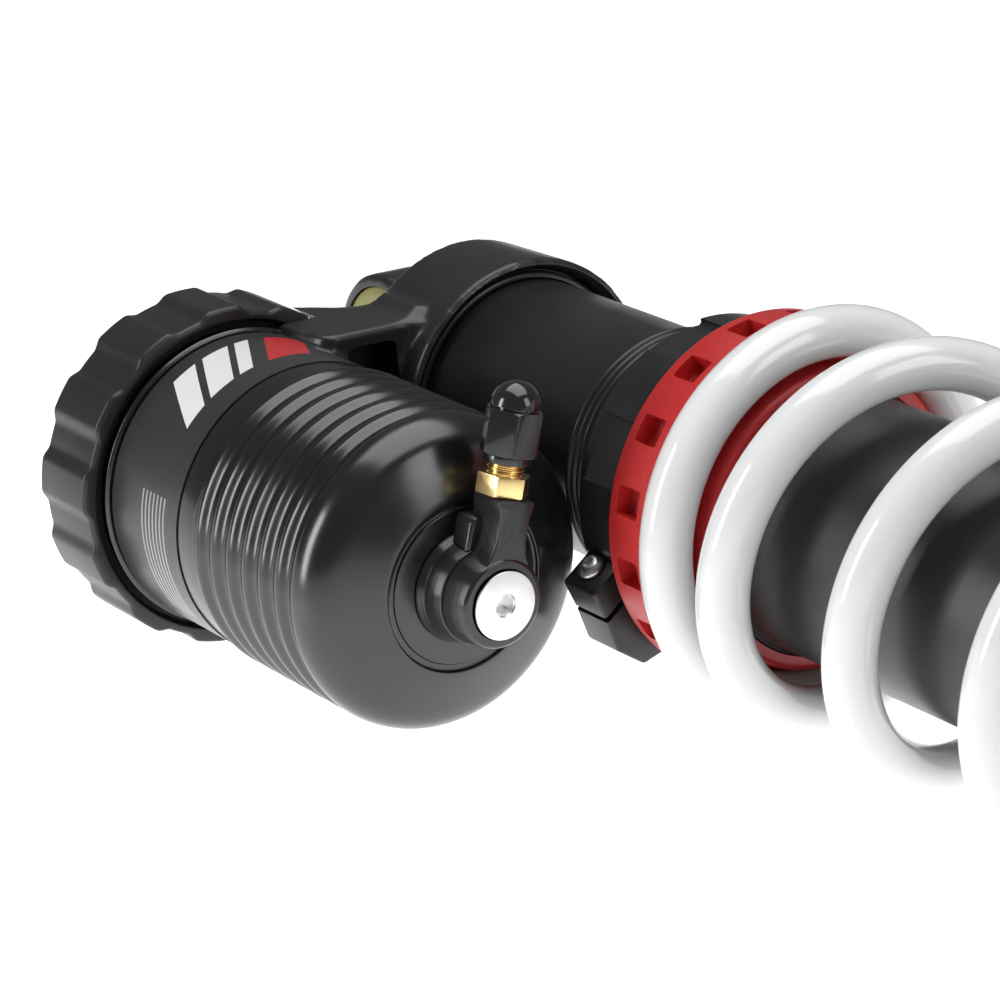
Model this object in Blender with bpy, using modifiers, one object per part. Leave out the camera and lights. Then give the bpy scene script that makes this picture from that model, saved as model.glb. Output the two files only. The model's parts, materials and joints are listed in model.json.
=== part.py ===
"""Motorcycle rear shock absorber: coil-over damper with a piggyback gas reservoir.

The damper lies along +X. The centre of the upper eye is the origin, the lower clevis is at +X, and the
reservoir hangs on the -Y side. All sizes are in metres.
"""

import math

import bmesh
import bpy
from mathutils import Matrix, Vector

# ---------------------------------------------------------------- driving dimensions
GAP = 0.0003                     # play left between neighbouring pieces
ROUND = 32                       # sides of a large turned piece
MEDIUM_ROUND = 24                 # sides of a middling turned piece
SMALL_ROUND = 16                 # sides of a small turned piece
TWIST = 0.03                     # turn of a cutter about its axis, so that facets do not line up

EYE_TO_EYE = 0.480               # upper eye centre to lower bolt centre, shock extended
STROKE = 0.125                   # rod travel until the bump stop touches the seal head

EYE_R = 0.0190                   # upper eye
EYE_HALF = 0.0070
RACE_R = 0.0130                  # outer radius of the upper spherical bearing
BALL_R = 0.0098
BOLT_BORE_R = 0.0060

HEAD_BACK = 0.0238               # ring of the head casting that holds the damper tube
HEAD_FRONT = 0.0505
HEAD_R = 0.0325
BRIDGE_TOP = 0.0220              # flat top of the bridge between head and reservoir
BRIDGE_LOW = -0.0240
BRIDGE_FRONT = 0.0434

TUBE_R = 0.0275                  # damper tube
TUBE_BORE_R = 0.0250
TUBE_START = 0.0366
TUBE_END = 0.2560
LOWER_TUBE_R = 0.0280
THREAD_START = 0.1033            # preload thread on the tube
THREAD_END = 0.1600
THREAD_R = 0.0290
THREAD_PITCH = 0.0020

RES_Y, RES_Z = -0.0647, -0.0112  # reservoir axis, parallel to the damper
HOUSING_START = 0.0130
HOUSING_END = 0.0574
HOUSING_R = 0.0330
HOUSING_BORE_R = 0.0300
END_RING_BACK = 0.0071           # scalloped ring at the head end of the reservoir
END_RING_FRONT = 0.0252
END_RING_R = 0.0393
SCALLOPS = 13
SCALLOP_DEPTH = 0.0016
CAP_R = 0.0345                   # ribbed reservoir cap
CAP_BORE_R = 0.0280
CAP_RIBS = 7
CAP_RIB_START = 0.0640           # bottom of the wave before the first rib
CAP_RIB_PITCH = 0.0064
CAP_RIB_DEPTH = 0.0011
CAP_END = 0.1176
BOLT_FACE = 0.1325               # outer face of the swivel bolt

VALVE_X = 0.1249                 # gas valve on the swivel arm
VALVE_LEAN = math.radians(12.5)

COLLAR_START = 0.1127            # clamping preload collar
COLLAR_END = 0.1333
COLLAR_R = 0.0350
COLLAR_BLOCKS = 7
LUG_ANGLE = math.radians(218)    # where the split of the collar points, from +Y towards +Z
SEAT_END = 0.1472                # red preload seat under the spring
SEAT_R = 0.0399
SEAT_SLEEVE_R = 0.0326
SEAT_SLEEVE_END = 0.1580
SEAT_POCKETS = 16

SPRING_START = 0.1476
SPRING_END = 0.4030
SPRING_R = 0.0395                # radius of the coil's centre line
WIRE_R = 0.0055
SPRING_PITCH = 0.03905
CLOSED_TURNS = 0.64              # closed turns at each end; LIFT_TURNS is the length of the lift off them
LIFT_TURNS = 0.476
END_RISE = 0.0020                # rise of a closed turn
GRIND = 0.0005                   # ground off the wire at each end
SPRING_STEPS = 13                # points in one turn

ROD_R = 0.0090
SEAL_FACE = 0.2620               # outer face of the seal head
CLEVIS_TOP = 0.4115
FORK_GAP = 0.0240
EAR = 0.0080
EAR_R = 0.0150
LOWER_BORE_R = 0.0051

RES_AXIS = (RES_Y, RES_Z)
DAMPER_AXIS = (0.0, 0.0)
BLACK = (0.012, 0.012, 0.013)


# ---------------------------------------------------------------- scene helpers
def clear_scene():
    for old in list(bpy.data.objects):
        bpy.data.objects.remove(old, do_unlink=True)


def new_collection(name):
    collection = bpy.data.collections.new(name)
    bpy.context.scene.collection.children.link(collection)
    return collection


clear_scene()
PARTS = new_collection("rear_shock")
CUTTERS = new_collection("cutters")


def finish(name, colour, roughness, metallic):
    material = bpy.data.materials.new(name)
    material.use_nodes = True
    shader = material.node_tree.nodes["Principled BSDF"]
    shader.inputs["Base Color"].default_value = (*colour, 1.0)
    shader.inputs["Roughness"].default_value = roughness
    shader.inputs["Metallic"].default_value = metallic
    return material


ANODISED = finish("black_anodised", BLACK, 0.32, 0.6)
CAST = finish("black_casting", (0.020, 0.020, 0.021), 0.45, 0.3)
STEEL = finish("steel", (0.55, 0.55, 0.56), 0.25, 1.0)
SILVER = finish("silver_aluminium", (0.70, 0.70, 0.71), 0.30, 1.0)
BRASS = finish("brass", (0.80, 0.58, 0.24), 0.25, 1.0)
RED = finish("red_moulding", (0.50, 0.02, 0.02), 0.45, 0.0)
WHITE = finish("white_powder_coat", (0.86, 0.86, 0.85), 0.20, 0.0)
RUBBER = finish("black_rubber", (0.02, 0.02, 0.02), 0.70, 0.0)
SEAL = finish("olive_seal", (0.36, 0.36, 0.10), 0.55, 0.0)
BUSH = finish("bronze_bush", (0.40, 0.28, 0.16), 0.40, 0.8)
LABEL = finish("label_film", (0.030, 0.030, 0.032), 0.35, 0.0)
CHROME = finish("chrome", (0.80, 0.80, 0.82), 0.08, 1.0)


def put_in(obj, collection):
    for holder in list(obj.users_collection):
        holder.objects.unlink(obj)
    collection.objects.link(obj)


def as_part(obj, name, material):
    obj.name = name
    put_in(obj, PARTS)
    obj.data.materials.clear()
    obj.data.materials.append(material)
    if obj.type == "MESH":
        obj.data.shade_smooth()
        obj.data.set_sharp_from_angle(angle=math.radians(35))
    return obj


def as_helper(obj, name):
    """A shape that only cuts or joins another one."""
    obj.name = name
    put_in(obj, CUTTERS)
    obj.hide_render = True
    obj.display_type = "WIRE"
    return obj


def boolean(obj, other, operation):
    modifier = obj.modifiers.new(operation.lower(), "BOOLEAN")
    modifier.operation = operation
    modifier.object = other


def cut(obj, *others):
    for other in others:
        boolean(obj, as_helper(other, obj.name + "_cut"), "DIFFERENCE")


def join(obj, *others):
    for other in others:
        boolean(obj, as_helper(other, obj.name + "_add"), "UNION")


AXIS_TURN = {"X": (0, math.pi / 2, 0), "Y": (-math.pi / 2, 0, 0), "Z": (0, 0, 0)}


def along(axis, station, centre):
    """The point at a station along an axis, whose own place is given by the other two coordinates."""
    point = list(centre)
    point.insert("XYZ".index(axis), station)
    return point


def turned(outline, axis="X", centre=DAMPER_AXIS, sides=ROUND, closed=True, twist=0.0):
    """A shape of revolution. The outline lists (station, radius) along its outer side in the order of
    rising station and, on a hollow piece, back along its bore. An open outline starts and ends at radius 0.
    A twist keeps the facets of a cutter from lining up with those of the piece it cuts."""
    mesh = bpy.data.meshes.new("outline")
    points = [(radius * math.cos(twist), radius * math.sin(twist), station) for station, radius in outline]
    if closed:
        points = [points[0]] + points[:0:-1]
    else:
        points = points[::-1]
    edges = [(i, i + 1) for i in range(len(points) - 1)]
    if closed:
        edges.append((len(points) - 1, 0))
    mesh.from_pydata(points, edges, [])
    obj = bpy.data.objects.new("turned", mesh)
    PARTS.objects.link(obj)
    obj.rotation_euler = AXIS_TURN[axis]
    obj.location = along(axis, 0.0, centre)
    screw = obj.modifiers.new("turn", "SCREW")
    screw.steps = sides
    screw.render_steps = sides
    screw.use_merge_vertices = True
    screw.merge_threshold = 0.00001
    return obj


def tube(start, end, outer, inner, **where):
    return turned([(start, outer), (end, outer), (end, inner), (start, inner)], **where)


def bar(start, end, radius, **where):
    outline = [(start, 0.0), (start, radius), (end, radius), (end, 0.0)]
    return turned(outline, closed=False, **where)


def block(low, high):
    """A box between two corners, with its scale applied."""
    size = Vector(high) - Vector(low)
    middle = (Vector(high) + Vector(low)) / 2
    mesh = bpy.data.meshes.new("block")
    build = bmesh.new()
    bmesh.ops.create_cube(build, size=1.0)
    bmesh.ops.scale(build, vec=size, verts=build.verts)
    bmesh.ops.translate(build, vec=middle, verts=build.verts)
    build.to_mesh(mesh)
    build.free()
    obj = bpy.data.objects.new("block", mesh)
    PARTS.objects.link(obj)
    return obj


def hex_bar(start, end, across_flats, axis="X", centre=DAMPER_AXIS):
    return bar(start, end, across_flats / math.sqrt(3), axis=axis, centre=centre, sides=6)


def plate(loops, low, high, axis="X", centre=DAMPER_AXIS):
    """A flat shape made solid between two stations along an axis. Loops list the other two coordinates."""
    curve = bpy.data.curves.new("outline", "CURVE")
    curve.dimensions = "2D"
    curve.fill_mode = "BOTH"
    curve.extrude = (high - low) / 2
    for loop in loops:
        spline = curve.splines.new("POLY")
        spline.points.add(len(loop) - 1)
        for point, (a, b) in zip(spline.points, loop):
            point.co = {"X": (-b, a, 0.0, 1.0), "Y": (a, -b, 0.0, 1.0), "Z": (a, b, 0.0, 1.0)}[axis]
        spline.use_cyclic_u = True
    obj = bpy.data.objects.new("plate", curve)
    middle = (low + high) / 2
    obj.rotation_euler = AXIS_TURN[axis]
    obj.location = along(axis, middle, centre)
    PARTS.objects.link(obj)
    return as_mesh(obj)


def as_mesh(curve_object):
    """The curve object as a closed mesh in the same place, so that it can be cut and joined."""
    bpy.context.view_layer.update()
    graph = bpy.context.evaluated_depsgraph_get()
    mesh = bpy.data.meshes.new_from_object(curve_object.evaluated_get(graph))
    build = bmesh.new()
    build.from_mesh(mesh)
    bmesh.ops.remove_doubles(build, verts=build.verts, dist=0.000001)
    bmesh.ops.recalc_face_normals(build, faces=build.faces)
    build.to_mesh(mesh)
    build.free()
    obj = bpy.data.objects.new("shape", mesh)
    obj.matrix_world = curve_object.matrix_world.copy()
    PARTS.objects.link(obj)
    bpy.data.objects.remove(curve_object, do_unlink=True)
    return obj


def hang_on(parent, *children):
    for child in children:
        child.parent = parent


def ring_points(count, radius):
    """Points on a circle; radius may be a number or a function of the angle."""
    points = []
    for i in range(count):
        angle = 2 * math.pi * i / count
        r = radius(angle) if callable(radius) else radius
        points.append((r * math.cos(angle), r * math.sin(angle)))
    return points


# ---------------------------------------------------------------- head casting and damper tube
def bridge_outline():
    """The bridge seen from above: square at the front, flared backwards towards the reservoir."""
    return [
        (BRIDGE_FRONT + 0.0030, -0.0180),
        (BRIDGE_FRONT, -0.0300),
        (BRIDGE_FRONT, -0.0480),
        (BRIDGE_FRONT - 0.0022, -0.0498),
        (0.0330, -0.0512),
        (0.0150, -0.0512),
        (0.0150, -0.0435),
        (0.0240, -0.0328),
        (0.0266, -0.0180),
    ]


def make_head_casting():
    """Upper eye, ring for the damper tube, bridge and reservoir housing, cast as one piece."""
    outline = [
        (HEAD_BACK, 0.0),
        (HEAD_BACK, HEAD_R - 0.0020),
        (HEAD_BACK + 0.0010, HEAD_R - 0.0010),
        (HEAD_FRONT - 0.0012, HEAD_R),
        (HEAD_FRONT, HEAD_R - 0.0012),
        (HEAD_FRONT, 0.0),
    ]
    head = as_part(turned(outline, closed=False), "head_casting", CAST)
    eye = bar(-EYE_HALF, EYE_HALF, EYE_R, axis="Y")
    neck = block((0.0, -EYE_HALF + 0.0004, -0.0165), (HEAD_BACK + 0.0020, EYE_HALF - 0.0004, 0.0165))
    bridge = plate([bridge_outline()], BRIDGE_LOW, BRIDGE_TOP, axis="Z")
    cut(bridge, bar(0.0, 0.0700, (HOUSING_R + HOUSING_BORE_R) / 2, centre=RES_AXIS, twist=TWIST))
    pocket = block((BRIDGE_FRONT - 0.0090, -0.0440, BRIDGE_LOW + 0.0045),
                   (BRIDGE_FRONT + 0.0100, -0.0318, BRIDGE_TOP - 0.0035))
    housing = tube(HOUSING_START, HOUSING_END, HOUSING_R, HOUSING_BORE_R, centre=RES_AXIS)
    ring_room = tube(END_RING_BACK - 0.0010, END_RING_FRONT + GAP, END_RING_R + 0.0006,
                     HOUSING_R - 0.0002, centre=RES_AXIS, twist=TWIST)
    passage = bar(-0.0400, -0.0150, 0.0025, axis="Y", centre=(0.0320, 0.0), sides=16)
    tube_room = bar(TUBE_START - GAP, HEAD_FRONT + 0.0100, TUBE_R + GAP, twist=TWIST)
    oil_room = bar(HEAD_BACK + 0.0052, TUBE_START + 0.0020, 0.0200, sides=MEDIUM_ROUND)
    eye_bore = bar(-0.0200, 0.0200, RACE_R + GAP, axis="Y")
    join(head, eye, neck, bridge, housing)
    cut(head, ring_room, tube_room, oil_room, pocket, passage, eye_bore)


def make_body_tube():
    """Damper tube with the preload thread, shown as grooves one pitch apart."""
    outer = [(TUBE_START, TUBE_R), (THREAD_START - 0.0004, TUBE_R)]
    x = THREAD_START
    while x < COLLAR_START - THREAD_PITCH:
        outer += [(x, THREAD_R - 0.0009), (x + 0.0007, THREAD_R), (x + 0.0013, THREAD_R)]
        x += THREAD_PITCH
    outer += [(THREAD_END, THREAD_R), (THREAD_END + 0.0010, LOWER_TUBE_R), (TUBE_END, LOWER_TUBE_R)]
    inner = [(TUBE_END, TUBE_BORE_R), (TUBE_START, TUBE_BORE_R)]
    as_part(turned(outer + inner, sides=MEDIUM_ROUND), "body_tube", ANODISED)


def make_upper_bearing():
    """Spherical bearing of the upper eye: pressed race, ball, a seal and a spacer each side."""
    race_half = 0.0048
    race = [(-race_half, RACE_R), (race_half, RACE_R)]
    ball = [(-0.0056, BOLT_BORE_R)]
    for i in range(7):
        x = 0.0056 - 0.0112 * i / 6
        race_x = race_half - 2 * race_half * i / 6
        race.append((race_x, math.sqrt((BALL_R + GAP) ** 2 - race_x ** 2)))
        ball.insert(1, (x, math.sqrt(BALL_R ** 2 - x ** 2)))
    ball.append((0.0056, BOLT_BORE_R))
    as_part(turned(race, axis="Y", sides=SMALL_ROUND), "upper_bearing_race", STEEL)
    as_part(turned(ball, axis="Y", sides=SMALL_ROUND), "upper_bearing_ball", STEEL)
    for side, sign in (("left", -1), ("right", 1)):
        near, far = sorted((sign * 0.0052, sign * 0.0069))
        as_part(tube(near, far, RACE_R, 0.0092, axis="Y", sides=SMALL_ROUND), "upper_seal_" + side, SEAL)
        near, far = sorted((sign * 0.0059, sign * 0.0140))
        spacer = tube(near, far, 0.0086, BOLT_BORE_R, axis="Y", sides=SMALL_ROUND)
        as_part(spacer, "upper_spacer_" + side, SILVER)


# ---------------------------------------------------------------- reservoir
def scallop_radius(angle):
    """Outer radius of the scalloped ring: round lobes with shallow flats let in between them."""
    wave = math.cos(SCALLOPS * angle)
    step = min(1.0, max(0.0, 0.5 + 1.6 * wave))
    return END_RING_R - SCALLOP_DEPTH * (1 - step * step * (3 - 2 * step))


def make_end_ring():
    outer = ring_points(SCALLOPS * 6, scallop_radius)
    inner = ring_points(ROUND, HOUSING_R + GAP)
    ring = plate([outer, inner], END_RING_BACK, END_RING_FRONT, centre=RES_AXIS)
    as_part(ring, "reservoir_end_ring", ANODISED)
    join(ring, tube(END_RING_BACK + 0.0002, END_RING_BACK + 0.0024, HOUSING_R + 0.0015, 0.0260, centre=RES_AXIS,
                    sides=ROUND))


def make_rear_plug():
    flange = HOUSING_START - GAP
    outline = [
        (END_RING_BACK + 0.0027, HOUSING_R - 0.0003),
        (flange, HOUSING_R - 0.0003),
        (flange, HOUSING_BORE_R - GAP),
        (0.0145, HOUSING_BORE_R - GAP),
        (0.0145, 0.0272),
        (0.0175, 0.0272),
        (0.0175, HOUSING_BORE_R - GAP),
        (0.0195, HOUSING_BORE_R - GAP),
        (0.0195, 0.0093),
        (END_RING_BACK + 0.0027, 0.0093),
    ]
    as_part(turned(outline, centre=RES_AXIS, sides=MEDIUM_ROUND), "reservoir_rear_plug", ANODISED)
    o_ring("rear_plug_o_ring", 0.0160, 0.0286, 0.0011, RES_AXIS)


def o_ring(name, station, radius, section, centre, axis="X"):
    outline = []
    for i in range(4):
        angle = math.pi / 4 + math.pi * i / 2
        outline.append((station - section * math.cos(angle), radius + section * math.sin(angle)))
    as_part(turned(outline, axis=axis, centre=centre, sides=MEDIUM_ROUND), name, RUBBER)


def make_compression_adjuster():
    """Adjuster screwed into the rear plug: high-speed hex with the low-speed screw through it."""
    plug_face = END_RING_BACK + 0.0027
    body = hex_bar(plug_face - 0.0048, plug_face - GAP, 0.0240, centre=RES_AXIS)
    as_part(body, "compression_adjuster_body", STEEL)
    join(body, bar(plug_face - 0.0020, 0.0260, 0.0090, centre=RES_AXIS, sides=MEDIUM_ROUND))
    cut(body, bar(-0.0100, 0.0400, 0.0044, centre=RES_AXIS, sides=SMALL_ROUND))
    nut = hex_bar(-0.0012, plug_face - 0.0051, 0.0170, centre=RES_AXIS)
    as_part(nut, "high_speed_nut", ANODISED)
    cut(nut, bar(-0.0100, 0.0200, 0.0044, centre=RES_AXIS, sides=SMALL_ROUND))
    outline = [(-0.0018, 0.0), (-0.0018, 0.0041), (0.0272, 0.0041), (0.0300, 0.0012), (0.0300, 0.0)]
    screw = turned(outline, centre=RES_AXIS, sides=SMALL_ROUND, closed=False)
    as_part(screw, "low_speed_screw", BRASS)
    cut(screw, block((-0.0030, RES_Y - 0.0060, RES_Z - 0.0005), (-0.0006, RES_Y + 0.0060, RES_Z + 0.0005)))
    shims = tube(0.0263, 0.0280, 0.0095, 0.0044, centre=RES_AXIS, sides=SMALL_ROUND)
    as_part(shims, "compression_valve_shims", STEEL)


def cap_outer():
    """Outer side of the cap: spigot, ribs as a wave, rounded shoulder, cone and the grooved end face."""
    spigot = HOUSING_BORE_R - GAP
    points = [(0.0500, spigot), (0.0530, spigot), (0.0530, spigot - 0.0012), (0.0556, spigot - 0.0012),
              (0.0556, spigot), (0.0577, spigot), (0.0577, CAP_R - CAP_RIB_DEPTH)]
    steps = CAP_RIBS * 2 - 1
    for i in range(steps + 1):
        x = CAP_RIB_START + CAP_RIB_PITCH * i / 2
        points.append((x, CAP_R - CAP_RIB_DEPTH * (1 - i % 2)))
    shoulder_x, shoulder_r, arc = points[-1][0], CAP_R, 0.0093
    for i in range(1, 4):
        angle = math.radians(62) * i / 3
        points.append((shoulder_x + arc * math.sin(angle), shoulder_r - arc * (1 - math.cos(angle))))
    points += [(CAP_END, 0.0189), (CAP_END - 0.0011, 0.0187), (CAP_END - 0.0011, 0.0172)]
    points += [(CAP_END - 0.0003, 0.0172), (CAP_END - 0.0003, 0.0043)]
    return points


def make_reservoir_cap():
    inner = [(0.1115, 0.0043), (0.1110, 0.0120), (0.1085, 0.0210), (0.1045, CAP_BORE_R), (0.0500, CAP_BORE_R)]
    as_part(turned(cap_outer() + inner, centre=RES_AXIS, sides=MEDIUM_ROUND), "reservoir_cap", ANODISED)
    label = tube(0.0298, HOUSING_END, HOUSING_R + GAP + 0.0003, HOUSING_R + GAP, centre=RES_AXIS)
    as_part(label, "reservoir_label", LABEL)
    cut(label, block((0.0200, -0.0520, BRIDGE_LOW - 0.0030), (BRIDGE_FRONT + 0.0005, -0.0100, 0.0300)),
        block((0.0400, -0.0345, -0.0240), (HEAD_FRONT + 0.0005, -0.0200, 0.0160)))
    o_ring("cap_o_ring", 0.0543, HOUSING_BORE_R - 0.0008, 0.0004, RES_AXIS)


def make_gas_piston():
    """Floating piston that parts the oil from the nitrogen, with its ring."""
    radius = CAP_BORE_R - GAP
    outline = [
        (0.0640, radius), (0.0680, radius), (0.0680, radius - 0.0024), (0.0710, radius - 0.0024),
        (0.0710, radius), (0.0760, radius), (0.0760, 0.0230), (0.0680, 0.0210), (0.0680, 0.0),
    ]
    piston = turned([(0.0640, 0.0)] + outline, centre=RES_AXIS, sides=MEDIUM_ROUND, closed=False)
    as_part(piston, "gas_piston", SILVER)
    o_ring("gas_piston_o_ring", 0.0695, radius - 0.0010, 0.0011, RES_AXIS)


# ---------------------------------------------------------------- swivel gas valve
def make_swivel():
    """Boss and bolt on the cap's end, and the arm, stem, core and cap that turn about the bolt."""
    boss = turned([(CAP_END, 0.0120), (0.1192, 0.0120), (0.1192, 0.0112), (0.1238, 0.0112), (0.1245, 0.0105),
                   (0.1245, 0.0043), (CAP_END, 0.0043)], centre=RES_AXIS, sides=MEDIUM_ROUND)
    as_part(boss, "swivel_boss", SILVER)
    outline = [(0.1130, 0.0), (0.1130, 0.0039), (0.1286, 0.0039), (0.1318, 0.0073), (BOLT_FACE, 0.0074),
               (BOLT_FACE, 0.0)]
    bolt = turned(outline, centre=RES_AXIS, sides=MEDIUM_ROUND, closed=False)
    as_part(bolt, "swivel_bolt", SILVER)
    cut(bolt, hex_bar(BOLT_FACE - 0.0026, BOLT_FACE + 0.0100, 0.0042, centre=RES_AXIS))
    pivot = bpy.data.objects.new("swivel_axis", None)
    pivot.location = (0.0, RES_Y, RES_Z)
    pivot.rotation_euler = (-VALVE_LEAN, 0.0, 0.0)
    PARTS.objects.link(pivot)
    make_valve_arm(pivot)
    make_valve_stem(pivot)
    make_valve_cap(pivot)


def make_valve_arm(pivot):
    on_valve = (VALVE_X, 0.0)
    arm = bar(0.1248, 0.1319, 0.0096, sides=MEDIUM_ROUND)
    as_part(arm, "valve_arm", ANODISED)
    neck = block((0.1250, -0.0036, 0.0070), (0.1310, 0.0036, 0.0200))
    rib = block((0.1214, -0.0036, 0.0128), (0.1256, 0.0036, 0.0198))
    top = block((0.1209, -0.0043, 0.0190), (0.1312, 0.0043, 0.0215))
    bore = bar(0.1200, 0.1400, 0.0043, sides=SMALL_ROUND)
    countersink = turned([(0.1282, 0.0), (0.1282, 0.0042), (0.1316, 0.0077), (0.1400, 0.0078), (0.1400, 0.0)],
                         sides=MEDIUM_ROUND, closed=False)
    stem_hole = bar(0.0150, 0.0300, 0.0031, axis="Z", centre=on_valve, sides=SMALL_ROUND)
    passage = bar(0.0020, 0.0160, 0.0010, axis="Z", centre=(VALVE_X + 0.0006, 0.0), sides=12)
    join(arm, neck, rib, top)
    cut(arm, bore, countersink, stem_hole, passage)
    hang_on(pivot, arm, neck, rib, top, bore, countersink, stem_hole, passage)


def make_valve_stem(pivot):
    on_valve = (VALVE_X, 0.0)
    stem = bar(0.0152, 0.0355, 0.0028, axis="Z", centre=on_valve, sides=SMALL_ROUND)
    as_part(stem, "valve_stem", BRASS)
    nut = hex_bar(0.0218, 0.0260, 0.0100, axis="Z", centre=on_valve)
    thread = bar(0.0250, 0.0358, 0.0039, axis="Z", centre=on_valve, sides=SMALL_ROUND)
    bore = bar(0.0100, 0.0400, 0.0020, axis="Z", centre=on_valve, sides=16)
    join(stem, nut, thread)
    cut(stem, bore)
    core = tube(0.0175, 0.0350, 0.0017, 0.0009, axis="Z", centre=on_valve, sides=16)
    as_part(core, "valve_core", BRASS)
    pin = bar(0.0200, 0.0358, 0.0006, axis="Z", centre=on_valve, sides=10)
    as_part(pin, "valve_pin", STEEL)
    hang_on(pivot, stem, nut, thread, bore, core, pin)


def make_valve_cap(pivot):
    on_valve = (VALVE_X, 0.0)
    dome_r, dome_base = 0.0053, 0.0404
    outline = [(0.0284, 0.0), (0.0284, 0.0050), (0.0310, 0.0050), (0.0310, 0.0048), (dome_base, dome_r)]
    for i in range(1, 6):
        angle = math.pi / 2 * i / 6
        outline.append((dome_base + dome_r * math.sin(angle), dome_r * math.cos(angle)))
    outline.append((dome_base + dome_r, 0.0))
    cap = turned(outline, axis="Z", centre=on_valve, sides=SMALL_ROUND, closed=False)
    as_part(cap, "valve_cap", ANODISED)
    nut = hex_bar(0.0302, 0.0395, 0.0110, axis="Z", centre=on_valve)
    bore = bar(0.0270, 0.0375, 0.0042, axis="Z", centre=on_valve, sides=SMALL_ROUND)
    join(cap, nut)
    cut(cap, bore)
    hang_on(pivot, cap, nut, bore)


# ---------------------------------------------------------------- preload parts and spring
def lug_point(radial, across):
    """A point of the collar's lug, from its distance along the split and its distance across it."""
    c, s = math.cos(LUG_ANGLE), math.sin(LUG_ANGLE)
    return (radial * c - across * s, radial * s + across * c)


def make_clamp_collar():
    """Split threaded collar with tool blocks around it and a pinch screw through two lugs."""
    def castle(angle):
        return COLLAR_R if math.cos(COLLAR_BLOCKS * (angle - math.pi) - 0.6) > 0 else COLLAR_R - 0.0020

    outer = ring_points(COLLAR_BLOCKS * 8, castle)
    collar = plate([outer], COLLAR_START + 0.0042, COLLAR_END)
    as_part(collar, "clamp_collar", ANODISED)
    front = bar(COLLAR_START, COLLAR_START + 0.0060, COLLAR_R - 0.0028)
    lug_outline = [(0.0320, -0.0125), (0.0423, -0.0125), (0.0434, -0.0045), (0.0460, 0.0037), (0.0430, 0.0132),
                   (0.0365, 0.0155), (0.0310, 0.0145)]
    lugs = plate([[lug_point(*p) for p in lug_outline]], COLLAR_START + 0.0046, COLLAR_END - 0.0050)
    bore = bar(COLLAR_START - 0.0100, COLLAR_END + 0.0100, THREAD_R + GAP, twist=TWIST)
    split = plate([[lug_point(*p) for p in ((0.0200, -0.0052), (0.0520, -0.0052), (0.0520, -0.0039),
                                             (0.0200, -0.0039))]], COLLAR_START - 0.0100, COLLAR_END + 0.0100)
    screw_x, screw_radial = 0.1224, 0.0365
    hole = pinch_bar(-0.0300, 0.0130, 0.0023, screw_x, screw_radial)
    spot_face = pinch_bar(-0.0300, -0.0118, 0.0034, screw_x, screw_radial)
    join(collar, front, lugs)
    cut(collar, bore, split, hole, spot_face)
    screw = pinch_bar(-0.0125, 0.0110, 0.0020, screw_x, screw_radial)
    as_part(screw, "clamp_screw", STEEL)
    head = pinch_bar(-0.0142, -0.0121, 0.0030, screw_x, screw_radial)
    socket = pinch_bar(-0.0200, -0.0128, 0.0013, screw_x, screw_radial, sides=6)
    join(screw, head)
    cut(screw, socket)


def pinch_bar(start, end, radius, station, radial, sides=20):
    """A round bar that crosses the collar's split, at a station along the damper."""
    obj = bar(start, end, radius, axis="Z", sides=sides)
    y, z = lug_point(radial, 0.0)
    obj.location = (station, y, z)
    obj.rotation_euler = (LUG_ANGLE, 0.0, 0.0)
    return obj


def make_preload_seat():
    """Red seat of the spring: flange with square tool pockets, and a sleeve that centres the coil."""
    outline = [
        (COLLAR_END + GAP, SEAT_R - 0.0006),
        (COLLAR_END + 0.0009, SEAT_R),
        (SEAT_END - 0.0006, SEAT_R),
        (SEAT_END, SEAT_R - 0.0006),
        (SEAT_END, SEAT_SLEEVE_R),
        (SEAT_SLEEVE_END - 0.0008, SEAT_SLEEVE_R),
        (SEAT_SLEEVE_END, SEAT_SLEEVE_R - 0.0008),
        (SEAT_SLEEVE_END, THREAD_R + GAP),
        (COLLAR_END + GAP, THREAD_R + GAP),
    ]
    seat = turned(outline)
    as_part(seat, "preload_seat", RED)
    cut(seat, pocket_cutter())


def pocket_cutter():
    mesh = bpy.data.meshes.new("pockets")
    build = bmesh.new()
    size = Vector((0.0070, 0.0100, 0.0064))
    for i in range(SEAT_POCKETS):
        made = bmesh.ops.create_cube(build, size=1.0)["verts"]
        bmesh.ops.scale(build, vec=size, verts=made)
        bmesh.ops.translate(build, vec=(0.1402, SEAT_R + 0.0012, 0.0), verts=made)
        angle = math.pi - math.radians(11.0) + 2 * math.pi * i / SEAT_POCKETS
        turn = rotation_about_x(angle)
        bmesh.ops.transform(build, matrix=turn, verts=made)
    build.to_mesh(mesh)
    build.free()
    obj = bpy.data.objects.new("pockets", mesh)
    PARTS.objects.link(obj)
    return obj


def rotation_about_x(angle):
    return Matrix.Rotation(angle, 4, "X")


def spring_rise(turns):
    """How far the wire has climbed from one end: flat closed turns, a smooth lift, then the free pitch."""
    lifted = turns - CLOSED_TURNS
    rise = END_RISE * turns
    if lifted > LIFT_TURNS:
        rise += (SPRING_PITCH - END_RISE) * (lifted - LIFT_TURNS / 2)
    elif lifted > 0:
        share = lifted / LIFT_TURNS
        rise += (SPRING_PITCH - END_RISE) * LIFT_TURNS * (share ** 3 - share ** 4 / 2)
    return rise


def spring_turns():
    """Turns between the two ends, from the free pitch and the length."""
    length = SPRING_END - SPRING_START - 2 * (WIRE_R - GRIND)
    flat = 2 * CLOSED_TURNS + LIFT_TURNS
    return (length + (SPRING_PITCH - END_RISE) * flat) / SPRING_PITCH


def spring_station(turns):
    """Station of the wire's centre after some turns from the upper end."""
    if turns <= spring_turns() / 2:
        return SPRING_START + WIRE_R - GRIND + spring_rise(turns)
    return SPRING_END - WIRE_R + GRIND - spring_rise(spring_turns() - turns)


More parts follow.
